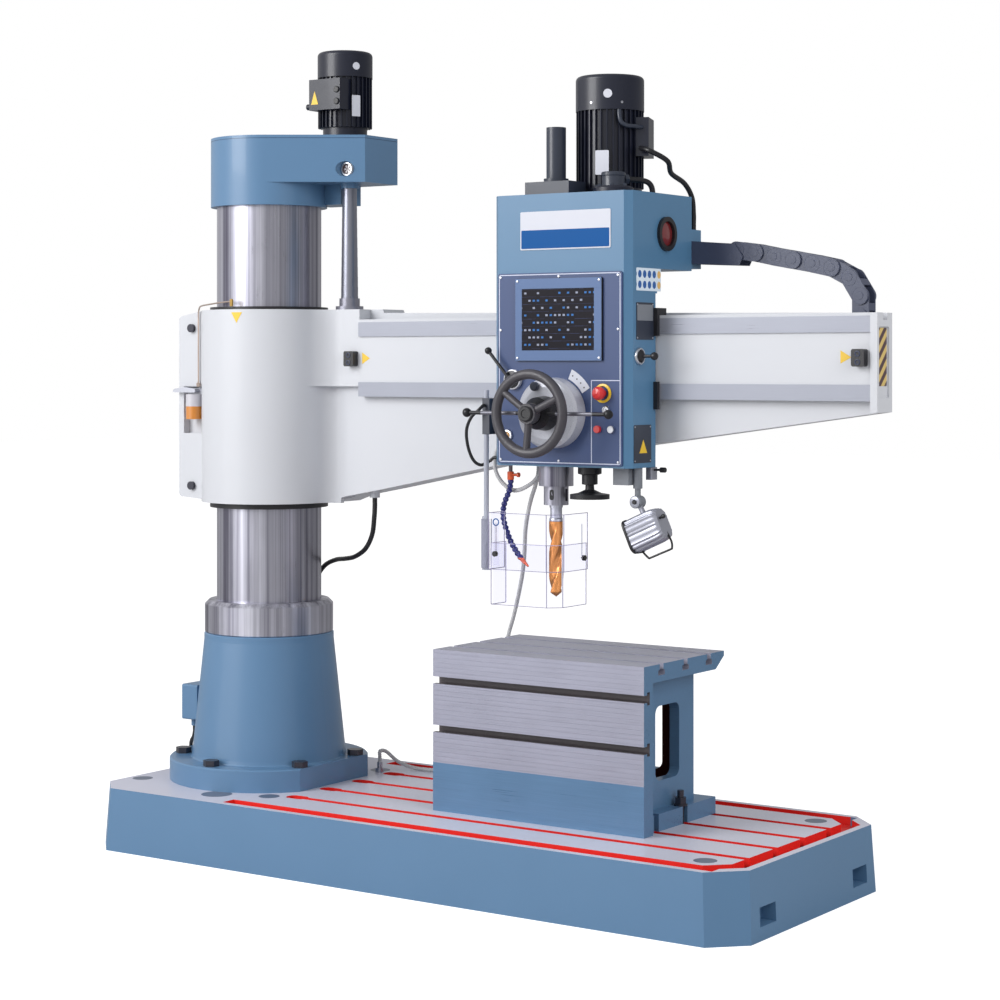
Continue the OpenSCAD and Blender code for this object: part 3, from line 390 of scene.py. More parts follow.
def mix(tree, mask, a, b):
    """Colour a where the mask is 0 and colour b where it is 1."""
    return add(tree, "ShaderNodeMix", {"data_type": "RGBA"}, i0=mask, i6=a, i7=b).outputs[2]


print("node helpers ready")

# %% [markdown]
# ## Paint
# A sprayed coat has a fine peel, like the skin of an orange, and drifts a little in shade from place to
# place. A picture could carry both, but noise at two sizes has no seam and no edge, and its grain is
# the same size on every piece.

# %% Paint film: orange peel and a faint unevenness of colour
FLOAT, COLOR = "NodeSocketFloat", "NodeSocketColor"
paint_film, inp, out = new_group(
    "paint_film",
    [("Color", COLOR, (1, 1, 1, 1)), ("Peel Scale", FLOAT, 420.0), ("Variation", FLOAT, 0.05)],
    [("Color", COLOR), ("Roughness", FLOAT), ("Height", FLOAT)])
pos = place(paint_film)
cloud = add(paint_film, "ShaderNodeTexNoise", Vector=pos, Scale=3.0, Detail=3.0).outputs["Fac"]
peel = add(paint_film, "ShaderNodeTexNoise", Vector=pos, Scale=inp.outputs[1], Detail=1.0).outputs["Fac"]
shade = math_node(paint_film, "MULTIPLY_ADD", cloud, inp.outputs[2], 1.0)
shade = minus(paint_film, shade, math_node(paint_film, "MULTIPLY", inp.outputs[2], 0.5))
hsv = add(paint_film, "ShaderNodeHueSaturation", Color=inp.outputs[0], Value=shade)
rough = math_node(paint_film, "MULTIPLY_ADD", cloud, 0.12, 0.30)
for a, b in ((hsv.outputs[0], 0), (rough, 1), (peel, 2)):
    paint_film.links.new(a, out.inputs[b])
print("paint film", len(paint_film.nodes), "nodes")

# %% [markdown]
# ## Ground metal
# A grinding wheel leaves fine lines along its travel, and oil leaves soft patches. The lines are noise
# that is stretched along one direction, so they have every length, where a wave pattern would repeat.

# %% Ground metal: fine lines along one direction, oily patches
ground_metal, inp, out = new_group(
    "ground_metal",
    [("Color", COLOR, (1, 1, 1, 1)), ("Stretch", "NodeSocketVector", (1, 1, 1)),
     ("Line Scale", FLOAT, 300.0), ("Contrast", FLOAT, 0.18)],
    [("Color", COLOR), ("Roughness", FLOAT), ("Height", FLOAT)])
pos = place(ground_metal)
pull = add(ground_metal, "ShaderNodeVectorMath", {"operation": "MULTIPLY"}, i0=pos, i1=inp.outputs[1])
lines = add(ground_metal, "ShaderNodeTexNoise", Vector=pull.outputs[0], Scale=inp.outputs[2], Detail=2.0)
patch = add(ground_metal, "ShaderNodeTexNoise", Vector=pos, Scale=5.0, Detail=4.0).outputs["Fac"]
fine = math_node(ground_metal, "MULTIPLY", lines.outputs["Fac"], 0.8)
both = math_node(ground_metal, "MULTIPLY_ADD", patch, 0.7, fine)
shade = math_node(ground_metal, "MULTIPLY_ADD", minus(ground_metal, both, 0.75), inp.outputs[3], 1.0)
hsv = add(ground_metal, "ShaderNodeHueSaturation", Color=inp.outputs[0], Value=shade)
rough = math_node(ground_metal, "MULTIPLY_ADD", both, 0.22, 0.16)
for a, b in ((hsv.outputs[0], 0), (rough, 1), (lines.outputs["Fac"], 2)):
    ground_metal.links.new(a, out.inputs[b])
print("groups", [g.name for g in bpy.data.node_groups])

# %% [markdown]
# ## The finishes
# One function makes a shader from an effect group and the few numbers that are the same all over: how
# metallic it is and how deep its grain is. A finish of several colours hands in a function that draws
# its pattern, so the rest of the shader is the same for both kinds.

# %% Finish builder
def srgb(r, g, b):
    """A colour seen on screen, 0 to 255, as the linear values that a shader takes."""
    c = np.array([r, g, b]) / 255
    return (*np.where(c <= 0.04045, c / 12.92, ((c + 0.055) / 1.055) ** 2.4).tolist(), 1.0)


def new_material(name):
    """A material, its node tree and its shader."""
    m = bpy.data.materials.new(name)
    m.use_nodes = True
    return m, m.node_tree, m.node_tree.nodes["Principled BSDF"]


def finish(name, group, colour, metallic=0.0, depth=0.0002, bump=0.3, coat=0.0, shine=0.5, **values):
    """A Principled shader fed by an effect group; colour may be a plain colour or a socket maker."""
    m, t, shader = new_material(name)
    film = add(t, "ShaderNodeGroup", {"node_tree": group})
    colour = colour(t) if callable(colour) else colour
    if isinstance(colour, bpy.types.NodeSocket):
        t.links.new(colour, film.inputs["Color"])
    else:
        film.inputs["Color"].default_value = colour
    for key, value in values.items():
        film.inputs[key.replace("_", " ")].default_value = value
    t.links.new(film.outputs["Color"], shader.inputs["Base Color"])
    t.links.new(film.outputs["Roughness"], shader.inputs["Roughness"])
    relief = add(t, "ShaderNodeBump", Height=film.outputs["Height"], Distance=depth, Strength=bump)
    t.links.new(relief.outputs[0], shader.inputs["Normal"])
    shader.inputs["Metallic"].default_value = metallic
    shader.inputs["Coat Weight"].default_value = coat
    shader.inputs["Specular IOR Level"].default_value = shine
    m.diffuse_color = colour if isinstance(colour, tuple) else (0.5, 0.5, 0.5, 1)
    return m


print("finish builder ready")

# %% [markdown]
# ## Colours that follow the shape
# One casting often wears several colours: blue sides, a bare planed top, red oxide in the gutter. Most
# functions below compare the point being shaded with a few limits in metres, which are the edges
# between the colours on the real piece, so that no image has to be wrapped round it. The dark inside
# the table's slots is painted shade, and the upright bands on ground steel, from noise, are painted
# reflection.

# %% Base, table and column
BLUE, RED = srgb(90, 126, 161), srgb(224, 44, 38)
TABLE_IRON, BASE_IRON = srgb(158, 159, 176), srgb(200, 200, 214)


def base_colour(t):
    """Blue sides, bare iron on the top plane, red oxide in the gutter and the slots.
    The inside is what lies within the rim: |Y| and X under their limits, cut at the two corners."""
    top_z, deepest_z, half_width, near_x, far_x, corner = 0.2005, 0.12, 0.4545, 0.15, 2.0125, 2.386
    x, y, z = parts_of(t)
    wide = math_node(t, "ABSOLUTE", y)
    top = times(t, above(t, z, top_z), above(t, facing(t)[2], 0.7))
    inside = times(t, above(t, z, deepest_z), above(t, half_width, wide), above(t, far_x, x),
                   above(t, x, near_x), above(t, corner, math_node(t, "ADD", x, wide)))
    return mix(t, top, mix(t, inside, BLUE, RED), BASE_IRON)


def table_colour(t):
    """Planed iron on the top and above the foot in front; paint elsewhere, red oxide inside.
    Planed means facing up at the top, or standing in the front plane, which the slots also cut; inside
    the slots the iron is painted dark grey as painted shade."""
    foot_z, ledge_z, roof_z = 0.352, 0.640, 0.6505
    apron_y, front_y, slot_y, back_y = -0.131, -0.1315, -0.1812, 0.1765
    left_x, right_x = 0.9085, 1.4875
    x, y, z = parts_of(t)
    end_on = above(t, math_node(t, "ABSOLUTE", facing(t)[0]), 0.9)
    planed = times(t, above(t, z, foot_z), minus(t, 1.0, end_on),
                   math_node(t, "MAXIMUM", above(t, apron_y, y), above(t, z, ledge_z)))
    slot = times(t, planed, above(t, y, slot_y), above(t, ledge_z, z))
    inner = times(t, above(t, x, left_x), above(t, right_x, x), above(t, y, front_y),
                  above(t, back_y, y), above(t, roof_z, z))
    # the inside of the slots, planed iron, is painted dark grey: painted shade
    skin = mix(t, slot, mix(t, planed, BLUE, TABLE_IRON), srgb(78, 72, 76))
    return mix(t, inner, skin, srgb(84, 40, 38))


def painted_reflection_bands(t):
    """Ground steel with broad upright bands of painted reflection: noise of the direction round the column,
    blind to Z.
    """
    flat = add(t, "ShaderNodeVectorMath", {"operation": "MULTIPLY"}, i0=place(t), i1=(1, 1, 0.004))
    band = add(t, "ShaderNodeTexNoise", Vector=flat.outputs[0], Scale=13.0, Detail=6.0, Roughness=0.75)
    tone = add(t, "ShaderNodeMapRange", Value=band.outputs["Fac"], From_Min=0.36, From_Max=0.64)
    # bands from dark to near white: painted reflection on the steel
    return mix(t, tone.outputs[0], srgb(104, 102, 118), srgb(222, 222, 234))


print("castings and column coloured by place")

# %% [markdown]
# ## Small pieces of several colours
# The oil bowl, the nozzle, the levers and the drill are each one part here, but several materials on
# the real machine. They could be cut up, but a height, or a distance from an axis, tells the materials
# apart just as well and leaves the part whole.

# %% Bowl, lid, nozzle, levers, rod and drill
def bowl_colour(t):
    """A steel bracket over a bowl that is clear at its top and amber with oil below."""
    oil_top, bracket_foot = 1.4440, 1.4852
    z = parts_of(t)[2]
    bowl = mix(t, above(t, z, oil_top), srgb(206, 128, 40), srgb(198, 196, 204))
    return mix(t, above(t, z, bracket_foot), bowl, srgb(170, 172, 182))


def lid_colour(t):
    """Paint with the dark joint under the lid's edge."""
    joint_top = 2.3318
    return mix(t, above(t, joint_top, parts_of(t)[2]), BLUE, srgb(38, 62, 92))


def nozzle_colour(t):
    """A steel stub, an orange valve, dark blue ball segments and an orange tip, one below the other."""
    tip_top, valve_foot, valve_top = 0.992, 1.2300, 1.2560
    z = parts_of(t)[2]
    balls = mix(t, above(t, tip_top, z), srgb(32, 38, 112), srgb(232, 112, 84))
    below_stub = mix(t, above(t, z, valve_foot), balls, srgb(228, 92, 44))
    return mix(t, above(t, z, valve_top), below_stub, srgb(120, 108, 112))


def lever_colour(t):
    """Drawn rods between a black hub and black knobs: the distance from the levers' axis tells them."""
    hub, knob = 0.070, 0.1980
    x, _, z = parts_of(t)
    far = reach(t, minus(t, x, WHEEL[0]), minus(t, z, WHEEL[1]))
    rod = times(t, above(t, far, hub), above(t, knob, far))
    return mix(t, rod, srgb(34, 34, 38), srgb(112, 112, 122))


def selector_colour(t):
    """A steel hub with a black lever: the lever is what lies beyond the hub's radius or before its face."""
    hub, hub_face = 0.0305, -0.1690
    x, y, z = parts_of(t)
    far = reach(t, minus(t, x, SELECTOR[0]), minus(t, z, SELECTOR[1]))
    black = math_node(t, "MAXIMUM", above(t, far, hub), above(t, hub_face, y))
    return mix(t, black, srgb(196, 198, 206), srgb(36, 36, 40))


def holder_colour(t):
    """Bright rod, with the dark block that holds it."""
    block_foot, block_top = 1.3715, 1.4825
    z = parts_of(t)[2]
    block = times(t, above(t, z, block_foot), above(t, block_top, z))
    return mix(t, block, srgb(168, 172, 186), srgb(52, 56, 70))


def bit_colour(t):
    """A bright shank above a copper-coloured flute length."""
    flute_top = 1.1080
    return mix(t, above(t, parts_of(t)[2], flute_top), srgb(210, 140, 80), srgb(176, 178, 190))


print("small pieces coloured by place")

# %% [markdown]
# ## The list of finishes
# Every finish has a name, a colour and the few values that set it apart: how metallic it is, how strong
# its grain is, and how much clear coat lies on it. Kept as a list, they are easy to compare, and one
# more finish is one more line.

# %% Paints, plastics and metals
paint = {name: finish(name, paint_film, colour, **more) for name, colour, more in [
    ("base_paint", base_colour, dict(Variation=0.10)),
    ("cap_paint", srgb(92, 102, 122), {}),
    ("blue_paint", BLUE, dict(bump=0.2, coat=0.15)),
    ("head_paint", srgb(78, 120, 155), dict(bump=0.2, coat=0.1)),
    ("lid_paint", lid_colour, dict(bump=0.2, coat=0.15)),
    ("white_paint", srgb(204, 206, 212), dict(bump=0.25, coat=0.1)),
    ("motor_paint", srgb(22, 26, 42), dict(Variation=0.2, coat=0.1)),
    ("grey_sheet", srgb(120, 124, 132), {}),
    ("grey_handle", srgb(66, 64, 70), dict(Peel_Scale=320.0, bump=0.9, depth=0.0008, Variation=0.2)),
    ("dark_metal", srgb(44, 50, 64), dict(coat=0.2)),
    ("panel_violet", srgb(64, 80, 120), dict(Peel_Scale=1500.0, bump=0.1, shine=0.35)),
    ("chain_plastic", srgb(68, 74, 96), dict(Peel_Scale=700.0, bump=0.4, Variation=0.15)),
    ("black_rubber", srgb(34, 34, 38), dict(Peel_Scale=1400.0, bump=0.5)),
    ("black_cable", srgb(28, 28, 32), dict(Peel_Scale=1200.0, bump=0.2)),
    ("grey_hose", srgb(192, 192, 194), dict(Peel_Scale=1200.0)),
    ("black_plastic", srgb(30, 30, 34), dict(Peel_Scale=1400.0, bump=0.2)),
    ("blue_plastic", srgb(40, 48, 120), dict(bump=0.1, coat=0.4)),
    ("red_plastic", srgb(206, 40, 40), dict(bump=0.1, coat=0.5)),
    ("yellow_plastic", srgb(232, 190, 40), dict(bump=0.1, coat=0.3)),
    ("amber_plastic", srgb(214, 160, 96), dict(bump=0.1, coat=0.5)),
    ("oil_bowl", bowl_colour, dict(bump=0.05, coat=0.8)),
    ("nozzle_plastic", nozzle_colour, dict(bump=0.1, coat=0.4)),
    ("rod_holder", holder_colour, dict(bump=0.05, coat=0.3)),
    # pale bars on the clear guard's real edges and folds: painted highlight
    ("edge_highlight", srgb(142, 138, 168), dict(bump=0.0, coat=0.3)),
    ("plate_white", srgb(208, 210, 220), dict(bump=0.05, shine=0.15, Variation=0.02)),
    ("plate_blue", srgb(12, 82, 148), dict(bump=0.05, shine=0.10, Variation=0.02)),
    ("plate_grey", srgb(166, 174, 190), dict(bump=0.05, Variation=0.03)),
    ("line_white", srgb(200, 206, 226), dict(bump=0.0, Variation=0.0)),
]}
metal = {name: finish(name, ground_metal, colour, shiny, **more) for name, colour, shiny, more in [
    # ground steel wears the upright bands of painted reflection
    ("ground_steel", painted_reflection_bands, 0.9, dict(bump=0.08, Stretch=(1, 1, 0.03), Contrast=0.22)),
    ("machined_steel", srgb(154, 157, 169), 0.25, dict(bump=0.08, Stretch=(0.03, 1, 1), Contrast=0.12)),
    ("bright_steel", srgb(186, 188, 198), 0.85, dict(bump=0.05)),
    ("dial_steel", srgb(186, 188, 198), 0.20,
     dict(bump=0.4, Contrast=0.40, Stretch=(1, 0.2, 1), Line_Scale=420.0)),
    ("spring_steel", srgb(150, 152, 164), 0.8, dict(bump=0.1, Stretch=(1, 1, 0.05))),
    ("black_steel", srgb(70, 70, 78), 0.7, dict(bump=0.1)),
    ("planed_iron", table_colour, 0.2,
     dict(bump=0.2, Stretch=(0.02, 1, 1), Line_Scale=300.0, Contrast=0.32)),
    ("dark_bronze", srgb(150, 150, 162), 0.6, {}),
    ("gold_steel", bit_colour, 0.75, dict(bump=0.05)),
    ("brass", srgb(206, 168, 96), 0.75, dict(bump=0.05)),
    ("chrome_trim", srgb(212, 214, 220), 1.0, dict(bump=0.0, Contrast=0.05)),
    ("lamp_aluminium", srgb(168, 170, 182), 0.60, dict(bump=0.05)),
    ("copper_pipe", srgb(190, 172, 160), 0.7, dict(bump=0.05)),
    ("lever_steel", lever_colour, 0.35, dict(bump=0.05)),
    ("selector_finish", selector_colour, 0.3, dict(bump=0.05)),
]}
print(len(paint), "paints and plastics,", len(metal), "metals")

# %% [markdown]
# ## Glass and clear sheet
# The guard is a bent clear sheet that is hardly seen apart from its edges, so its index is close to that
# of air. The oil window and the lamp's pane stay opaque, as coated paint, because nothing lies behind.

# %% Clear sheet
def clear(name, colour):
    """Clear sheet to the right of its hub; the hub that carries it is steel."""
    hub_right = 1.0195
    m, t, shader = new_material(name)
    sheet = above(t, parts_of(t)[0], hub_right)
    t.links.new(mix(t, sheet, srgb(150, 152, 168), colour), shader.inputs["Base Color"])
    t.links.new(sheet, shader.inputs["Transmission Weight"])
    t.links.new(math_node(t, "MULTIPLY_ADD", sheet, -0.30, 0.32), shader.inputs["Roughness"])
    shader.inputs["IOR"].default_value = 1.04
    return m


glass = {"clear_sheet": clear("clear_sheet", srgb(247, 247, 252)),
         "red_glass": finish("red_glass", paint_film, srgb(110, 26, 30), bump=0.0, coat=1.0),
         "lamp_glass": finish("lamp_glass", paint_film, srgb(226, 228, 226), bump=0.0, coat=0.8)}
finishes = {**paint, **metal, **glass}
print(len(finishes), "finishes")

# %% [markdown]
# ## Dressing the machine
# The record of the model names a finish for every node. A few nodes wear one that follows their shape.

# %% Give every node of the machine its finish
slots = {s["node"]: s["material_slot"] for s in frame["record"]["subparts"]}
special = {"selector_lever": metal["selector_finish"], "housing_lid": paint["lid_paint"],
           "lubricator": paint["oil_bowl"], "clamp_ring": metal["ground_steel"],
           "guard_rod": paint["rod_holder"]}
for name, obj in nodes.items():
    material = special.get(name) or finishes[slots[name]]
    for slot in obj.material_slots:
        slot.material = material
    if not obj.material_slots:
        obj.data.materials.append(material)
print("finished", len(nodes), "nodes")

# %% [markdown]
# ## Cables and hoses
# Each cable keeps the route that the solid model gives it, and is drawn with more and rounder rings.
# Both its ends go back into the machine. The coolant hose has fine ribs, so its radius swings up and
# down along it, and so does that of the hose beside the spindle; the rest are smooth sheaths.

# %% Cables
def cable(name, points, radius, body, material, node, ribs=0.0):
    """A round sheath along the smooth route; ribs is the height of each ring on a ribbed hose.
    Ribbed radius at distance s: R - h/2 + h/2 cos(2 pi s / p), with four rings to each pitch p."""
    q = route(np.array(points) / 1000, 8)
    length = float(run_length(q)[-1])
    r = radius
    if ribs:
        even = np.arange(0, length, radius * 0.22)
        q = respaced(q, even)
        r = radius - ribs / 2 + ribs / 2 * np.cos(even * 2 * math.pi / (radius * 0.88))
    piece = tube(name, q, r, body, material, sides=14, slot=slots[node])
    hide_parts(node)
    print(name, round(length, 3), "m")


# routes in millimetres
mains_route = [
    [-305, -34, 348], [-305, -34, 338], [-305, -34, 328], [-314, -29, 308], [-333, -18, 292],
    [-347, -6, 270], [-349, 4, 244], [-349, 4, 226], [-349, 4, 214], [-349, 4, 202]
]
hose_route = [
    [1106, -26, 1278], [1106, -26, 1270], [1106, -26, 1262], [1100, -22, 1238], [1084, -14, 1204],
    [1060, 2, 1168], [1028, 32, 1122], [986, 80, 1060], [948, 132, 990], [908, 182, 924],
    [860, 232, 850], [800, 290, 765], [750, 330, 690], [715, 352, 600], [700, 366, 480],
    [696, 372, 360], [680, 372, 272], [640, 368, 226], [580, 362, 212], [500, 358, 210],
    [420, 352, 210], [350, 344, 212], [300, 322, 232], [276, 288, 268], [268, 264, 272],
    [268, 262, 256], [268, 262, 246], [268, 262, 236]
]
arm_cable_route = [
    [384, 84, 1146], [384, 84, 1132], [384, 84, 1118], [380, 86, 1080], [362, 98, 1022],
    [320, 116, 972], [262, 134, 942], [200, 160, 930], [140, 186, 922], [84, 200, 902], [52, 200, 868],
    [44, 198, 830], [44, 198, 814], [44, 198, 798.5]
]
head_hose_route = [
    [1128, -40, 1278], [1128, -40, 1270], [1128, -40, 1262], [1110, -54, 1228], [1086, -68, 1208],
    [1054, -68, 1197], [1024, -62, 1200], [992, -62, 1222], [972, -64, 1254], [968, -64, 1290],
    [976, -64, 1318], [988, -64, 1334], [1002, -64, 1340], [1011, -64, 1340], [1020, -64, 1340]
]
switch_route = [
    [1003, -169, 1460], [1003, -173, 1460], [1003, -178, 1460], [996, -192, 1446], [972, -196, 1424],
    [950, -190, 1386], [944, -176, 1338], [952, -160, 1294], [968, -142, 1276], [988, -126, 1286],
    [1002, -120, 1298], [1011, -120, 1298], [1020, -120, 1298]
]
# the terminal box is turned round the motor; its lead leaves so far outwards and so far to the front
BOX_TURN, OUTWARDS, TO_FRONT = math.radians(22), 112, 70
c, s = math.cos(BOX_TURN), math.sin(BOX_TURN)
start = np.array([1312 + OUTWARDS * c + TO_FRONT * s, 60 + OUTWARDS * s - TO_FRONT * c, 2239])
away = np.array([s, -c, 0])
conduit_route = [
    start, start + 10 * away, start + 20 * away, start + [48, -34, -12], start + [78, 16, -40],
    [1500, 110, 2167], [1500, 190, 2141], [1500, 236, 2101], [1500, 246, 2051], [1500, 246, 2021],
    [1500, 246, 2011], [1500, 246, 2001]
]
cable("mains_lead", mains_route, 0.0065, "base", paint["black_cable"], "mains_cable")
cable("coolant_line", hose_route, 0.007, "head", paint["grey_hose"], "coolant_hose", ribs=0.0016)
cable("arm_lead", arm_cable_route, 0.008, "column", paint["black_cable"], "arm_cable")
cable("head_loop", head_hose_route, 0.007, "head", paint["grey_hose"], "head_hose", ribs=0.0012)
cable("switch_lead", switch_route, 0.005, "head", paint["black_cable"], "switch_cable")
cable("motor_lead", conduit_route, 0.008, "head", paint["black_cable"], "motor_conduit")

# %% [markdown]
# ## Plates, scales and windows on the head
# Thin plates lie on the casting's own faces, a tenth of a millimetre clear. The name plate is two
# plain bands, and the screen shows rows of small lights. A picture could be wrapped onto each, but
# plates and repeated cells stay sharp from any distance.

# %% Name plate, panel lines and screen
def strip(name, points, y=PANEL, width=0.0028):
    """Lines drawn on a face that looks along -Y: each leg is a flat bar 0.4 mm thick."""
    for k, (a, b) in enumerate(zip(np.array(points[:-1]), np.array(points[1:]))):
        d = unit(b - a) * width / 2
        side = np.array([-d[1], d[0]])
        plate(f"{name}_{k}", [a - side - d, b - side + d, b + side + d, a + side - d], y, y - 0.0004,
              "y", "head", paint["line_white"], edge=0.0001)


def front(name, x0, z0, x1, z1, y, thick, r, material, edge=0.0004):
    """A rounded plate on a face that looks along -Y."""
    return plate(name, rounded(x0, z0, x1, z1, r), y, y - thick, "y", "head", material, edge=edge)


front("name_plate", 1.123, 1.932, 1.445, 2.048, HEAD_FACE, 0.0022, 0.004, paint["plate_white"])
front("name_band", 1.127, 1.936, 1.441, 1.992, HEAD_FACE - 0.0022, 0.0006, 0.003, paint["plate_blue"])
strip("panel_line", [(1.049, 1.290), (1.049, 1.857), (1.481, 1.857), (1.481, 1.290), (1.049, 1.290)])
strip("sub_line", [(1.381, 1.292), (1.381, 1.538), (1.479, 1.538)])


def screen_colour(t):
    """A dark screen with rows of small lights: a cell number along X and Z picks which are lit."""
    left, wide, foot, high = 1.142, 0.0154, 1.634, 0.0222
    x, _, z = parts_of(t)
    u, across = cells(t, x, left, wide)
    v, up = cells(t, z, foot, high)
    du, dv = math_node(t, "ABSOLUTE", across), math_node(t, "ABSOLUTE", up)
    cell = add(t, "ShaderNodeCombineXYZ", X=math_node(t, "FLOOR", u), Y=math_node(t, "FLOOR", v))
    chance = add(t, "ShaderNodeTexWhiteNoise", {"noise_dimensions": "2D"}, Vector=cell.outputs[0])
    pick = chance.outputs["Value"]
    lit = times(t, above(t, 0.26, du), above(t, 0.13, dv), above(t, pick, 0.45))
    rule = times(t, above(t, dv, 0.47), above(t, 0.45, pick))
    lamp_colour = mix(t, above(t, pick, 0.72), srgb(150, 156, 176), srgb(58, 112, 178))
    base = mix(t, rule, srgb(20, 17, 27), srgb(52, 58, 88))
    return mix(t, lit, base, lamp_colour)


screen_glass = finish("screen_glass", paint_film, screen_colour, bump=0.0, shine=0.12, Variation=0.0)
front("screen", 1.137, 1.628, 1.395, 1.814, FRAME, 0.0005, 0.003, screen_glass, edge=0.0002)
bezel = finish("bezel_blue", paint_film, srgb(88, 112, 154), Peel_Scale=1200.0, bump=0.1, shine=0.3)
for k, (x0, z0, x1, z1) in enumerate([(1.113, 1.597, 1.421, 1.628), (1.113, 1.814, 1.421, 1.845),
                                      (1.113, 1.6281, 1.1369, 1.8139), (1.3951, 1.6281, 1.421, 1.8139)]):
    plate(f"bezel_{k}", [(x0, z0), (x1, z0), (x1, z1), (x0, z1)], FRAME, FRAME - 0.0006, "y", "head",
          bezel, edge=0.0002)
print("panel drawn")

# %% [markdown]
# ## Controls on the panel
# The panel's buttons, switch and dial are turned pieces that stand on its face. The moving buttons are
# nodes of the machine already; the rings round them are fixed and are added here. Each stands in
# front of its plate, so nothing has to be cut.

# %% Screws, buttons and dial scale
screws = {"panel": (PANEL, [(1.054, 1.296), (1.265, 1.296), (1.474, 1.296), (1.054, 1.690),
                            (1.474, 1.690), (1.054, 1.850), (1.265, 1.850), (1.474, 1.850)]),
          "bezel": (FRAME - 0.0007, [(1.121, 1.605), (1.413, 1.605), (1.121, 1.837), (1.413, 1.837)])}
for kind, (y, places) in screws.items():
    for k, (x, z) in enumerate(places):
        turned(f"{kind}_screw_{k}", [(0, 0), (0.0042, 0), (0.0042, 0.0012), (0.0034, 0.0022), (0, 0.0026)],
               (x, y, z), FRONT, "head", metal["bright_steel"], sides=16)
turned("key_switch", [(0, 0), (0.0125, 0), (0.0125, 0.006), (0.0105, 0.009), (0.0085, 0.0092),
                      (0.0078, 0.007), (0.004, 0.007), (0.0035, 0.011), (0, 0.0112)],
       (1.434, PANEL, 1.450), FRONT, "head", metal["chrome_trim"], sides=32)
turned("indicator_ring", [(0.0098, 0), (0.0185, 0), (0.0185, 0.004), (0.0165, 0.007), (0.0118, 0.0075),
                          (0.0098, 0.005)],
       (1.080, PANEL, 1.370), FRONT, "head", metal["chrome_trim"], caps=False)
turned("indicator_lens", [(0, 0), (0.0096, 0), (0.0096, 0.004), (0.006, 0.0062), (0, 0.0068)],
       (1.080, PANEL, 1.370), FRONT, "head", paint["amber_plastic"])
turned("stop_ring", [(0.0215, 0), (0.0285, 0), (0.0285, 0.0035), (0.0270, 0.0045), (0.0215, 0.0045)],
       (1.422, PANEL, 1.500), FRONT, "head", paint["yellow_plastic"], caps=False)
sweep = np.linspace(66, 32, 9)
plate("feed_scale", np.vstack([round_from(WHEEL, 0.143, sweep), round_from(WHEEL, 0.112, sweep[::-1])]),
      PANEL, PANEL - 0.0015, "y", "head", paint["plate_white"], edge=0.0004)
for k, (x, z) in enumerate(round_from(WHEEL, 0.1275, [61, 53, 45, 37])):
    turned(f"scale_dot_{k}", [(0, 0), (0.0026, 0), (0.0022, 0.0006), (0, 0.0008)],
           (x, PANEL - 0.0014, z), FRONT, "head", paint["black_plastic"], sides=12)
stud("drum_knob", [(0.0085, 0), (0.0085, 0.008), (0.0135, 0.011), (0.0135, 0.022), (0.0110, 0.025)],
     (1.222, -0.207, 1.520), FRONT, "head", paint["dark_metal"], sides=24)
stud("wheel_cap", [(0.0235, 0), (0.0235, 0.0050), (0.0200, 0.0085), (0.0130, 0.0085), (0.0115, 0.0060)],
     (WHEEL[0], -0.3161, WHEEL[1]), FRONT, "handwheel", paint["black_plastic"])
a = np.linspace(0, math.pi, 14)
turned("joystick_ball", np.stack([0.0195 * np.sin(a), -0.0195 * np.cos(a)], 1), (1.510, -0.098, 1.610),
       (0, 1, 0), "joystick", paint["black_rubber"])
turned("joystick_ring", [(0.0205, 0), (0.0255, 0), (0.0255, 0.006), (0.0240, 0.0085), (0.0205, 0.0085)],
       (1.5102, -0.098, 1.610), RIGHT, "head", metal["chrome_trim"], caps=False)
turned("window_lens", [(0, 0), (0.0375, 0), (0.0375, 0.002), (0.030, 0.004), (0, 0.005)],
       (1.5085, 0.060, 1.980), RIGHT, "head", glass["red_glass"])
print("controls placed")

# %% [markdown]
# ## Cover of the lift screw
# The cover is a stack of twelve short tubes, each a little narrower than the one below it, so it can
# close up. On the machine its top stays on the column and its foot goes with the arm; here it is built
# at one height and rides on no body.

# %% Telescopic cover
COVER_TOP, COVER_FOOT, COVER_TUBES = 2.170, 1.779, 12
INSIDE, LOWEST, NARROWING = 0.0190, 0.0285, 0.00042
level = np.linspace(COVER_FOOT, COVER_TOP, COVER_TUBES + 1)
tube_radius = LOWEST - NARROWING * np.arange(COVER_TUBES)
# each tube has a ring of points at its foot, its middle and its top
heights = level[:-1, None] + (level[1] - level[0]) * np.array([0, 0.5, 1])
outside = np.stack([np.repeat(tube_radius, 3), heights.ravel()], 1)
cover = turned("lift_cover", np.vstack([(INSIDE, COVER_FOOT), outside, (INSIDE, COVER_TOP)]),
               (*LIFT_SCREW, 0), UP, "column", finishes[slots["screw_cover"]], caps=False,
               slot=slots["screw_cover"])
# the cover belongs to no single body, so it leaves the column first
cover.parent = None
del cover["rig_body"]
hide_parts("screw_cover")
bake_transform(cover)
print("cover of the lift screw:", COVER_TUBES, "tubes")

# %% [markdown]
# ## Fittings on top of the head
# A small pump stands in front of the motor on a round foot, with one pipe that runs back and goes down
# through the head. A short elbow joins the motor and its terminal box.

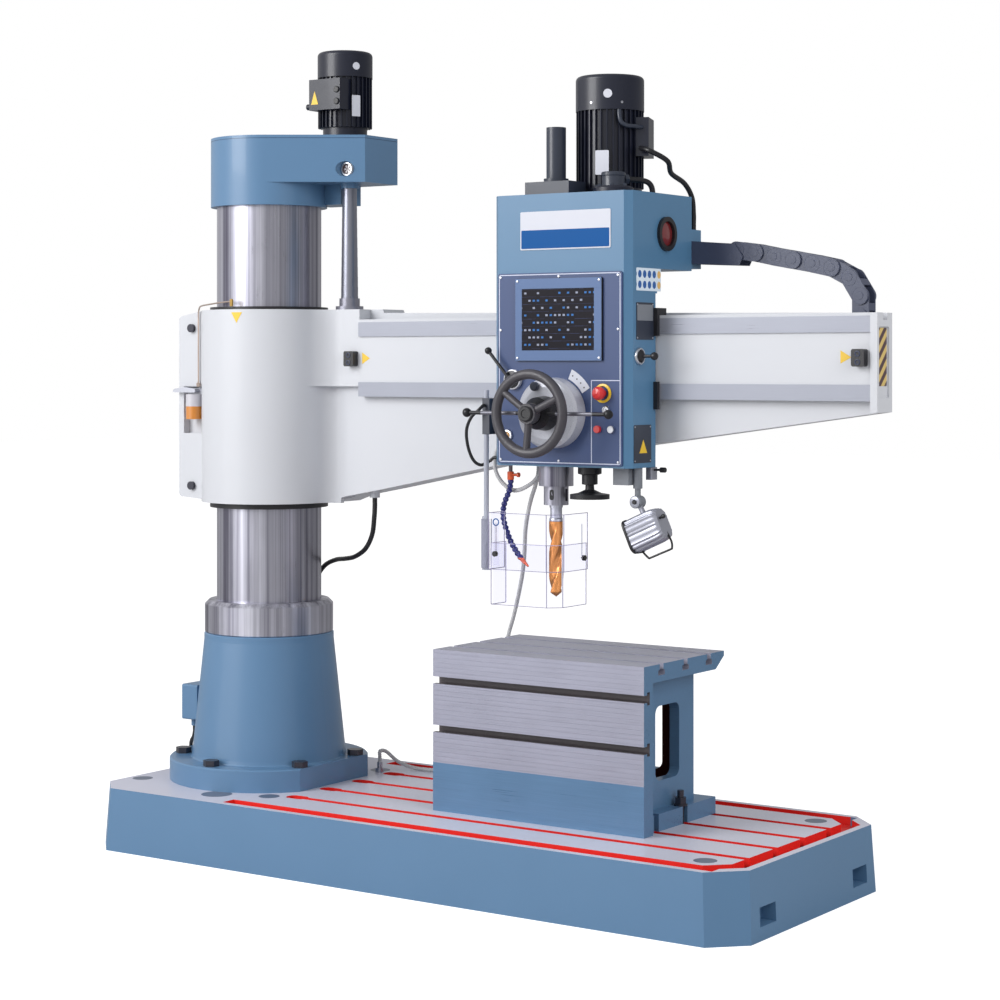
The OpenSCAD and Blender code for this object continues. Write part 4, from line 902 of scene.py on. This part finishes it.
# %% Pump and elbow
stud("pump_foot", [(0.060, 0), (0.060, 0.012), (0.056, 0.0165), (0.042, 0.0185)], (*PUMP, HEAD_TOP), UP,
     "head", paint["motor_paint"])
stud("pump_body", [(0.0360, 0), (0.0345, 0.004), (0.0345, 0.030), (0.0365, 0.032), (0.0365, 0.040),
                   (0.0340, 0.0425)], (*PUMP, HEAD_TOP + 0.0180), UP, "head", paint["dark_metal"])
for k, at in enumerate(round_from(PUMP, 0.0500, [200, 248, 296, 344])):
    stud(f"pump_bolt_{k}", [(0.0060, 0), (0.0060, 0.0050), (0.0045, 0.0065)], (*at, HEAD_TOP + 0.0168), UP,
         "head", paint["dark_metal"], sides=6, smooth=False)
stud("pump_nut", [(0.0150, 0), (0.0160, 0.0015), (0.0160, 0.0125), (0.0150, 0.0140)],
     (1.4310, -0.0538, HEAD_TOP + 0.0400), (0.56, 0.83, 0), "head", paint["dark_metal"], sides=6,
     smooth=False)
pipe = [(1.436, -0.046, 2.1412), (1.447, -0.030, 2.1412), (1.462, -0.008, 2.1400),
        (1.476, 0.012, 2.1340), (1.483, 0.022, 2.1200), (1.485, 0.025, 2.1008)]
elbow = [(1.3900, -0.0130, 2.3560), (1.3925, -0.0165, 2.3400), (1.3975, -0.0150, 2.3200),
         (1.4090, -0.0040, 2.3090), (1.4220, 0.0180, 2.3070), (1.4300, 0.0540, 2.3070)]
tube("pump_pipe", route(pipe, 5), 0.0085, "head", paint["black_plastic"])
tube("motor_elbow", route(elbow, 5), 0.0065, "head", paint["dark_metal"])
print("pump and elbow placed")

# %% [markdown]
# ## Labels
# Labels are thin plates with a drawn pattern: repeated cells for the discs, and a slanted coordinate
# for the stripes. They could be pictures, but plain shapes are all that is seen at this distance, and
# a formula draws them without a file.

# %% Labels and data plates on the right side
def side_plate(name, y0, z0, y1, z1, x, thick, material, r=0.003, body="head"):
    """A rounded plate on a face that looks along +X."""
    return plate(name, rounded(y0, z0, y1, z1, r), x, x + thick, "x", body, material, edge=0.0004)


def label_colour(t):
    """A pale label with two rows of blue discs, one to a cell, and an amber column at its end."""
    first_y, pitch_y, first_z, pitch_z = -0.1065, 0.0278, 1.8075, 0.0315
    disc_size, amber_from = 0.36, 0.003
    _, y, z = parts_of(t)
    du, dv = cells(t, y, first_y, pitch_y)[1], cells(t, z, first_z, pitch_z)[1]
    disc = above(t, disc_size, reach(t, du, dv))
    hue = mix(t, above(t, y, amber_from), srgb(44, 92, 160), srgb(222, 180, 110))
    return mix(t, disc, srgb(216, 228, 240), hue)


def hazard_colour(t):
    """Dark and yellow stripes that rise across the width: z - rise y counted in stripe pitches."""
    rise, pitch = 0.95, 0.042
    _, y, z = parts_of(t)
    s = math_node(t, "MULTIPLY_ADD", y, -rise, z)
    stripe = math_node(t, "FRACT", math_node(t, "MULTIPLY", s, 1 / pitch))
    return mix(t, above(t, stripe, 0.5), srgb(212, 184, 112), srgb(82, 62, 66))


side_plate("safety_label", -0.112, 1.805, 0.030, 1.873, SIDE, 0.0006,
           finish("label_print", paint_film, label_colour, bump=0.0, Variation=0.0))
for k, (z0, z1, edge_y) in enumerate([(1.659, 1.770, -0.013), (1.293, 1.406, -0.027)]):
    y0 = edge_y - 0.100
    side_plate(f"data_plate_{k}", y0, z0, edge_y, z1, SIDE, 0.0012, paint["dark_metal"])
    for n, (yy, zz) in enumerate([(y0 + 0.006, z0 + 0.006), (edge_y - 0.006, z0 + 0.006),
                                  (y0 + 0.006, z1 - 0.006), (edge_y - 0.006, z1 - 0.006)]):
        turned(f"data_rivet_{k}_{n}", [(0, 0), (0.0028, 0), (0.002, 0.0014), (0, 0.0018)],
               (SIDE + 0.0012, yy, zz), RIGHT, "head", metal["bright_steel"], sides=12)
side_plate("data_field", -0.108, 1.716, -0.018, 1.764, SIDE + 0.0012, 0.0004, paint["grey_sheet"])
plate("warning_mark_0", [(-0.096, 1.322), (-0.052, 1.322), (-0.074, 1.362)], SIDE + 0.0012,
      SIDE + 0.0016, "x", "head", paint["yellow_plastic"], edge=0.0001)
side_plate("hazard_stripes", 0.016, 1.524, 0.074, 1.690, 2.2291, 0.0008,
           finish("hazard_stripes", paint_film, hazard_colour, bump=0.0, Variation=0.02), body="arm")
print("labels placed")

# %% [markdown]
# ## Turned and twisted details
# The drill bit is a round bar whose section has two hollows opposite each other, turned steadily along
# its length, so that the hollows wind up it as flutes. A Screw modifier could wind them, but in one
# formula the point's cone and the end of the flutes come with them.

# %% Twist drill
# radius at angle a and height h: R (1 - d S(c)), where c grows from 0 to 1 as |cos(a - 22 h)| goes from
# 0.62 to 1, and S(c) = c^2 (3 - 2 c) rounds the edge of the flute
TIP_Z, LENGTH, TWIST, FLUTE_TOP, FLUTE_DEPTH, LAND, POINT = 0.8782, 0.280, 22.0, 0.222, 0.42, 0.62, 0.014
SHANK_FROM, SHANK_RADIUS, FLUTE_RADIUS = 0.2300, 0.0182, 0.0219
h = np.linspace(0, LENGTH, 150)[:, None]
a = np.linspace(0, 2 * math.pi, 72, endpoint=False)
depth = np.clip((FLUTE_TOP - h) / 0.03, 0, 1) * FLUTE_DEPTH
cone = np.clip(h / POINT, 0.04, 1)
cut = np.clip((np.abs(np.cos(a - h * TWIST)) - LAND) / (1 - LAND), 0, 1)
full = np.where(h > SHANK_FROM, SHANK_RADIUS, FLUTE_RADIUS)
r = full * cone * (1 - depth * cut * cut * (3 - 2 * cut))
grid = np.stack([SPINDLE[0] + r * np.cos(a), SPINDLE[1] + r * np.sin(a), TIP_Z + h + 0 * r], -1)
bit = surface("twist_drill", grid, "spindle", metal["gold_steel"], slot=slots["drill_bit"])
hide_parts("drill_bit")
stud("drill_neck", [(0.0205, 1.1500), (0.0205, 1.1600), (0.0150, 1.1640)], (*SPINDLE, 0), UP, "spindle",
     metal["bright_steel"])
stud("drill_collar", [(0.0206, 1.1085), (0.0212, 1.1105), (0.0212, 1.1155), (0.0195, 1.1180)],
     (*SPINDLE, 0), UP, "spindle", metal["bright_steel"])
print("drill", round(LENGTH, 3), "m long")

# %% [markdown]
# ## Plates bent round a cylinder
# The slot in the spindle's nose and the stickers on the motors lie on round faces. Each is a flat outline
# whose width becomes an angle, with enough points along its sides to follow the curve. A Shrinkwrap
# modifier could lay it on, but the angle is exact.

# %% Drift slot in the spindle's nose
def dense(corners, n=12):
    """A polygon's outline with n points to a side, so that it can be bent round a cylinder."""
    c = np.array(corners, float)
    t = np.linspace(0, 1, n, endpoint=False)[:, None]
    return np.vstack([a + (b - a) * t for a, b in zip(c, np.roll(c, -1, 0))])


def curved(name, outline, axis, radius, thick, degrees, body, material):
    """A small plate bent round an upright cylinder: across becomes an angle, up stays up."""
    across, up = np.array(outline).T
    angle = degrees + np.degrees((across - across.mean()) / radius)
    rows = [np.column_stack([round_from(axis, r, angle), up]) for r in (radius, radius + thick)]
    return surface(name, np.array(rows), body, material)


curved("drift_slot", rounded(1.196, 1.174, 1.210, 1.206, 0.006), SPINDLE, 0.03805, 0.0003, -78, "spindle",
       paint["black_plastic"])
print("drift slot placed")

# %% [markdown]
# ## The clear guard
# Two bent sheets slide in each other. Bright lines along the folds and edges are what makes such a sheet
# visible, so these are modelled as bars in a pale colour: the edges and folds are real, their brightness
# is painted highlight. Knobs clamp the lower sheet at its height.

# %% Clamping knobs and slots of the clear guard
GUARD_FACE, GUARD_SIDE = -0.2202, 1.3002
for k, (at, out) in enumerate([((1.080, GUARD_FACE, 1.013), FRONT), ((GUARD_SIDE, -0.077, 1.001), RIGHT)]):
    turned(f"guard_knob_{k}", [(0, -0.0065), (0.0017, -0.0065), (0.0017, 0.001), (0.0085, 0.001),
                               (0.0085, 0.009), (0.007, 0.0105), (0, 0.0105)],
           at, out, "guard_tier", paint["black_plastic"], sides=20)
# the slot's two sides, as bars in the pale colour of a painted highlight
slot_sides = [[(x, -0.2205, 1.018), (x, -0.2205, 1.104)] for x in (1.0776, 1.0824)]
wires("guard_slot_0", slot_sides, 0.0012, "guard", paint["edge_highlight"])
side_plate("guard_slot_1", -0.084, 1.006, -0.080, 1.104, GUARD_SIDE, 0.0004, paint["plate_grey"], r=0.0019,
           body="guard")
turned("guard_badge", [(0.0082, 0), (0.0118, 0), (0.0118, 0.0005), (0.0082, 0.0005)],
       (1.080, GUARD_FACE, 1.1085), FRONT, "guard", paint["plate_blue"], caps=False, sides=32)


def sheet_edges(name, z0, z1, inset, body):
    """Lines along the sheet's two long edges, its ends and its folds: the outline of the guard, in the pale
    colour of a painted highlight.
    """
    k = inset * math.tan(math.radians(22.5))
    x = np.array([1.053 + inset, 1.053 + inset, 1.262 - k, 1.300 - inset, 1.300 - inset])
    y = np.array([-0.136, -0.220 + inset, -0.220 + inset, -0.182 + k, -0.050])
    low, high = [np.stack([x, y, np.full(5, z)], 1) for z in (z0 + 0.0006, z1 - 0.0006)]
    legs = np.vstack([np.stack([p[:-1], p[1:]], 1) for p in (low, high)] + [np.stack([low, high], 1)])
    wires(name, legs, 0.0019, body, paint["edge_highlight"])


sheet_edges("upper_edges", 0.965, 1.137, 0.0, "guard")
sheet_edges("lower_edges", 0.858, 1.045, 0.0053, "guard_tier")
print("guard fittings placed")

# %% [markdown]
# ## The coolant nozzle
# A jointed hose is a row of plastic balls, each seated in the next. A tube whose radius swells once for
# every ball gives the same outline in one closed skin, where separate balls would cut into each other.

# %% Ball-jointed coolant nozzle
# radius along the hose: r (0.62 + 0.38 |sin(pi s / p)|), so that each pitch p swells like a ball; before
# the balls come a stub and a valve, and after them a tip that narrows evenly
STUB_END, STUB, VALVE_END, VALVE, BALL, PITCH, TIP = 0.022, 0.0062, 0.048, 0.0105, 0.0095, 0.0150, 0.032
line = route(np.array([[1042, -85, 1278], [1042, -85, 1240], [1042, -85, 1222], [1036, -85, 1195],
                       [1020, -85, 1160], [1014, -85, 1130], [1018, -85, 1098], [1040, -85, 1045],
                       [1072, -85, 1000], [1108, -85, 966]]) / 1000, 8)
length = run_length(line)[-1]
even = np.linspace(0, length, 260)
balls = BALL * (0.62 + 0.38 * np.abs(np.sin(np.pi * even / PITCH)))
left = length - even
r = np.where(even < STUB_END, STUB, np.where(even < VALVE_END, VALVE, balls))
r = np.where(left < TIP, 0.0030 + 0.0045 * left / TIP, r)
nozzle = tube("ball_nozzle", respaced(line, even), r, "head", paint["nozzle_plastic"], sides=20,
              slot=slots["coolant_nozzle"])
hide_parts("coolant_nozzle")
stud("nozzle_tap", [(0.0045, 0), (0.0045, 0.018), (0.0075, 0.018), (0.0075, 0.024)],
     (1.050, -0.085, 1.246), RIGHT, "head", paint["nozzle_plastic"], sides=16)
print("nozzle built,", round(float(length), 3), "m")

# %% [markdown]
# ## The work lamp
# Its housing is die-cast with cooling ribs, which are a ripple round a rounded outline. It is written
# square to its own axis and then turned about the joint, so that each measure stays simple.

# %% Work lamp: ribbed shell, rim, pane, handle and switch
TILT, LAMP_AXIS = math.radians(24), -0.0890


def lamp_local(points):
    """Points written square to the lamp head, turned with it about Y through its joint:
    X = x cos t - z sin t, Z = x sin t + z cos t."""
    c, s = math.cos(TILT), math.sin(TILT)
    return np.array(LAMP_JOINT) + np.array(points, float) @ [(c, 0, s), (0, 1, 0), (-s, 0, c)]


# outline point p at distance s round it, rippled: p (1 + 0.035 cos(2 pi s / pitch)); it shrinks at the back
ring = dense(rounded(-0.0380, -0.0500, 0.0380, 0.0500, 0.024), 9)
ring = ring * (1 + 0.035 * np.cos(2 * np.pi * run_length(ring) / 0.0140))[:, None]
x = np.array([-0.0520, -0.0460, -0.0180, 0.0200, 0.0340, 0.0450, 0.0540, 0.0590])[:, None]
size = np.array([1.0, 1.0, 1.0, 1.0, 0.99, 0.96, 0.91, 0.78])[:, None]
shell = np.stack([x + 0 * ring[:, 0], size * ring[:, 0], LAMP_AXIS + size * ring[:, 1]], -1)
housing = surface("lamp_shell", lamp_local(shell), "lamp_head", metal["lamp_aluminium"],
                  slot=slots["lamp_head"])
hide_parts("lamp_head")


def lamp_ring(name, x0, x1, half, material):
    """A square ring or pane round the lamp's axis."""
    o = rounded(-half + 0.012, -half, half - 0.012, half, 0.022)
    rows = [np.column_stack([np.full(len(o), v), o[:, 0], LAMP_AXIS + o[:, 1]]) for v in (x0, x1)]
    return surface(name, lamp_local(rows), "lamp_head", material)


lamp_ring("lamp_rim", -0.0590, -0.0521, 0.0530, paint["black_plastic"])
lamp_ring("lamp_pane", -0.0596, -0.0591, 0.0480, glass["lamp_glass"])
tube("lamp_stem", lamp_local(np.linspace((0.0020, 0, -0.0150), (0.0060, 0, -0.0480), 6)), 0.0080,
     "lamp_head", metal["lamp_aluminium"])
bail = [(-0.046, 0, -0.132), (-0.042, 0, -0.148), (-0.033, 0, -0.166), (-0.028, 0, -0.168),
        (0.010, 0, -0.169), (0.048, 0, -0.170), (0.054, 0, -0.168), (0.060, 0, -0.150),
        (0.056, 0, -0.118)]
tube("lamp_handle", lamp_local(route(bail, 5)), 0.0032, "lamp_head", paint["black_plastic"], sides=10)
tube("lamp_switch", lamp_local(np.linspace((0.0520, -0.014, -0.074), (0.0760, -0.014, -0.074), 5)),
     np.array([0.004, 0.004, 0.004, 0.007, 0.006]), "lamp_head", paint["black_plastic"], sides=12)
stud("joint_cap", [(0.0165, 0), (0.0165, 0.002), (0.0100, 0.0035), (0.0095, 0.0030)],
     (LAMP_JOINT[0], -0.0861, LAMP_JOINT[2]), FRONT, "lamp_arm", metal["lamp_aluminium"])
stud("joint_screw", [(0.0070, 0), (0.0070, 0.0030), (0.0055, 0.0045)],
     (LAMP_JOINT[0], -0.0890, LAMP_JOINT[2]), FRONT, "lamp_arm", paint["black_plastic"], sides=20)
stud("bracket_knob", [(0.0035, 0), (0.0035, 0.022), (0.0080, 0.022), (0.0080, 0.038), (0.0065, 0.040)],
     (1.5090, -0.006, 1.2700), RIGHT, "head", paint["black_plastic"], sides=20)
plate("bracket_plate", rounded(1.488, -0.022, 1.5085, 0.014, 0.003), 1.2400, 1.2779, "z", "head",
      metal["lamp_aluminium"])
print("lamp dressed")

# %% [markdown]
# ## On the arm
# A thin copper pipe brings oil from the bowl up to the sleeve's top. The yellow triangles and the cups
# of the end stops are small, but they are what gives the long white arm its scale.

# %% Oil pipe, warning marks and bumper cups on the arm
def front_mark(k, corners, y, body):
    """A yellow triangle on a face that looks along -Y."""
    return plate(f"warning_mark_{k}", corners, y, y - 0.0004, "y", body, paint["yellow_plastic"],
                 edge=0.0001)


pipe = route([(-0.222, -0.107, 1.512), (-0.222, -0.107, 1.545), (-0.222, -0.107, 1.620),
              (-0.222, -0.107, 1.700), (-0.222, -0.107, 1.752), (-0.214, -0.112, 1.774),
              (-0.190, -0.128, 1.7825), (-0.120, -0.166, 1.7865), (-0.050, -0.192, 1.7905),
              (0.012, -0.206, 1.7935)], 8)
tube("oil_pipe", pipe, 0.0026, "arm", metal["copper_pipe"], sides=10)
stud("pipe_fitting", [(0.007, 0), (0.007, 0.012), (0.005, 0.014)], (-0.222, -0.107, 1.5104), UP, "arm",
     metal["copper_pipe"], sides=6)
stud("pipe_elbow", [(0.006, 0), (0.006, 0.022), (0.0045, 0.024)], (0.012, -0.206, 1.7775), UP, "arm",
     metal["brass"], sides=6)
curved("warning_mark_1", dense([(0.020, 1.722), (0.040, 1.757), (0.000, 1.757)]), (0, 0), 0.2263, 0.0004,
       -78, "arm", paint["yellow_plastic"])
front_mark(2, [(0.392, 1.587), (0.392, 1.625), (0.424, 1.606)], 0.0058, "arm")
front_mark(3, [(2.118, 1.626), (2.118, 1.588), (2.152, 1.606)], 0.0058, "arm")
for k, (x, z) in enumerate([(0.354, 1.592), (0.354, 1.616), (2.183, 1.592), (2.183, 1.616)]):
    turned(f"bumper_cup_{k}", [(0.0050, 0), (0.0085, 0), (0.0085, 0.0015), (0.0070, 0.0022),
                               (0.0050, 0.0006)],
           (x, -0.0201, z), FRONT, "arm", paint["chain_plastic"], caps=False, sides=24)
print("arm fittings placed")

# %% [markdown]
# ## On the motors and the gear housing
# The sight glass shows a star of spokes, drawn with the cosine of six times the angle, which is high
# six times in one turn. Stickers and rating plates are plain pieces bent round the motors.

# %% Oil sight glass, stickers and terminal box marks
def star_colour(t):
    """A dark disc with six pale spokes: cos 6a is high along each spoke."""
    eye, rim = 0.0035, 0.0135
    x, _, z = parts_of(t)
    dx, dz = minus(t, x, SIGHT_GLASS[0]), minus(t, z, SIGHT_GLASS[1])
    far = reach(t, dx, dz)
    lobe = math_node(t, "COSINE", math_node(t, "MULTIPLY", math_node(t, "ARCTAN2", dz, dx), 6.0))
    spoke = times(t, above(t, lobe, 0.1), above(t, far, eye), above(t, rim, far))
    return mix(t, spoke, srgb(70, 48, 52), srgb(214, 212, 216))


star = finish("sight_star", paint_film, star_colour, bump=0.0, coat=0.8, Variation=0.0)
stud("sight_disc", [(0.0178, 0), (0.0178, 0.0012)], (SIGHT_GLASS[0], 0.0078, SIGHT_GLASS[1]), FRONT,
     "column", star, sides=32)
LIFT_COWL, MAIN_COWL = 0.0923, 0.1053
white = paint["plate_white"]
curved("lift_sticker", circle(0, 2.577, 0.0125, 24), LIFT_MOTOR, LIFT_COWL, 0.0004, -28, "column", white)
curved("lift_plate", rounded(-0.0150, 2.410, 0.0150, 2.480, 0.002), LIFT_MOTOR, 0.0914, 0.0006, -28,
       "column", white)
for k, z in enumerate([2.4950, 2.4560]):
    stud(f"box_plug_{k}", [(0.0110, 0), (0.0110, 0.003), (0.0090, 0.005)],
         (0.2840, 0.0068, z), FRONT, "column", paint["black_plastic"], sides=20)
front_mark(4, [(0.176, 2.450), (0.206, 2.450), (0.191, 2.494)], 0.0066, "column")
curved("motor_sticker", circle(0, 2.406, 0.0135, 24), MAIN_MOTOR, MAIN_COWL, 0.0004, -62, "head", white)
for k, degrees in enumerate([-91, -38]):
    curved(f"cowl_screw_{k}", circle(0, 2.380, 0.0040, 12), MAIN_MOTOR, MAIN_COWL, 0.0006, degrees,
           "head", metal["bright_steel"])
curved("motor_plate", rounded(-0.021, 2.160, 0.021, 2.234, 0.003), MAIN_MOTOR, 0.1052, 0.0008, -71.6,
       "head", white)
print("motors and sight glass marked")

# %% [markdown]
# ## The energy chain's pivots
# Each link of the chain turns on a stub that shows as a round boss with a raised rim on its outer face.
# The pivots follow the chain: from each to the next is one pitch, at the angle of that link. They
# could be placed one by one, but then the spacing of a real chain would soon be lost.

# %% Pivot bosses
LINK, CHAIN_START, CHAIN_FACE = 0.065, (1.662, 1.933), 0.2222
legs = round_from((0, 0), LINK, [-8, -12, -10.5, -10.5, -12.5, -27.5, -57.5, -90])
pivots = np.array(CHAIN_START) + np.vstack([[0, 0], np.cumsum(legs, 0)])
for k, (x, z) in enumerate(pivots):
    stud(f"chain_pivot_{k}", [(0.0262, 0), (0.0262, 0.0009), (0.0240, 0.0009), (0.0235, 0.0003),
                              (0.0120, 0.0003), (0.0114, 0.0014), (0.0080, 0.0014), (0.0074, 0.0006)],
         (x, CHAIN_FACE, z), FRONT, "head", paint["chain_plastic"], sides=28)
print(len(pivots), "pivots on the chain")

# %% [markdown]
# ## The studio
# The machine stands on a pale floor before a white backdrop. Both are bright where the camera sees
# them, but the backdrop lights the machine only gently, so that the colours come out as they are
# written. What kind of ray asks decides which of the two it gets.

# %% Floor and world
def background_rays(t):
    """1 where the camera sees the surface, straight or through a clear sheet; 1 where a reflection does."""
    ray = add(t, "ShaderNodeLightPath").outputs
    seen = math_node(t, "MAXIMUM", ray["Is Camera Ray"], ray["Is Transmission Ray"])
    return seen, ray["Is Glossy Ray"]


FLOOR_REACH, FLOOR_GREY, FLOOR_GLOW = 30, (0.50, 0.50, 0.50, 1), 0.80
floor_mesh = bpy.data.meshes.new("studio_floor")
corners = [(x * FLOOR_REACH, y * FLOOR_REACH, 0) for x, y in ((-1, -1), (1, -1), (1, 1), (-1, 1))]
floor_mesh.from_pydata(corners, [], [(0, 1, 2, 3)])
floor = new_object("studio_floor", floor_mesh)
floor_material, t, shader = new_material("studio_floor")
shader.inputs["Base Color"].default_value = FLOOR_GREY
shader.inputs["Roughness"].default_value = 0.9
shader.inputs["Emission Color"].default_value = (1, 1, 1, 1)
t.links.new(math_node(t, "MULTIPLY", background_rays(t)[0], FLOOR_GLOW), shader.inputs["Emission Strength"])
floor_mesh.materials.append(floor_material)

world = bpy.data.worlds.new("studio")
world.use_nodes = True
bpy.context.scene.world = world
t = world.node_tree
# half strength for light, full strength where it is seen; reflections find it brighter to the left
LIGHT, BRIGHT_SIDE = 0.50, (-0.66, -0.75, 0)
seen, mirrored = background_rays(t)
way = add(t, "ShaderNodeVectorMath", {"operation": "DOT_PRODUCT"},
          i0=add(t, "ShaderNodeTexCoord").outputs["Generated"], i1=BRIGHT_SIDE)
sweep = add(t, "ShaderNodeMapRange", Value=way.outputs["Value"], From_Min=-0.5, From_Max=0.9,
            To_Min=-0.16, To_Max=0.34)
glow = math_node(t, "MULTIPLY", mirrored, sweep.outputs[0])
extra = math_node(t, "ADD", math_node(t, "MULTIPLY", seen, 1 - LIGHT), glow)
back = t.nodes["Background"]
back.inputs["Color"].default_value = (1, 1, 1, 1)
t.links.new(math_node(t, "ADD", LIGHT, extra), back.inputs["Strength"])
print("floor and world ready")

# %% [markdown]
# ## Lamps
# A broad lamp on the left models the round column, a low one fills the underside of the arm, and one on
# the right, which reflections don't show, opens up the shaded sides.

# %% Lamps
def lamp(name, at, towards, size, power):
    """A square area lamp that looks at a point."""
    data = bpy.data.lights.new(name, "AREA")
    data.shape = "SQUARE"
    data.size = size
    data.energy = power
    obj = new_object(name, data)
    d = unit(np.array(towards) - np.array(at))
    obj.location = at
    obj.rotation_euler = (math.acos(-d[2]), 0, math.atan2(d[0], -d[1]) + math.pi)
    return obj


lamp("key_lamp", (-2.2, -6.0, 4.6), (1.0, 0, 1.2), 4.0, 400)
lamp("low_lamp", (-3.2, -6.5, 1.6), (1.0, 0, 1.0), 5.0, 84)
lamp("side_lamp", (6.5, -1.5, 3.5), (1.0, 0, 1.2), 4.0, 150).visible_glossy = False
bpy.context.scene.view_settings.view_transform = "Standard"
print("studio lit")
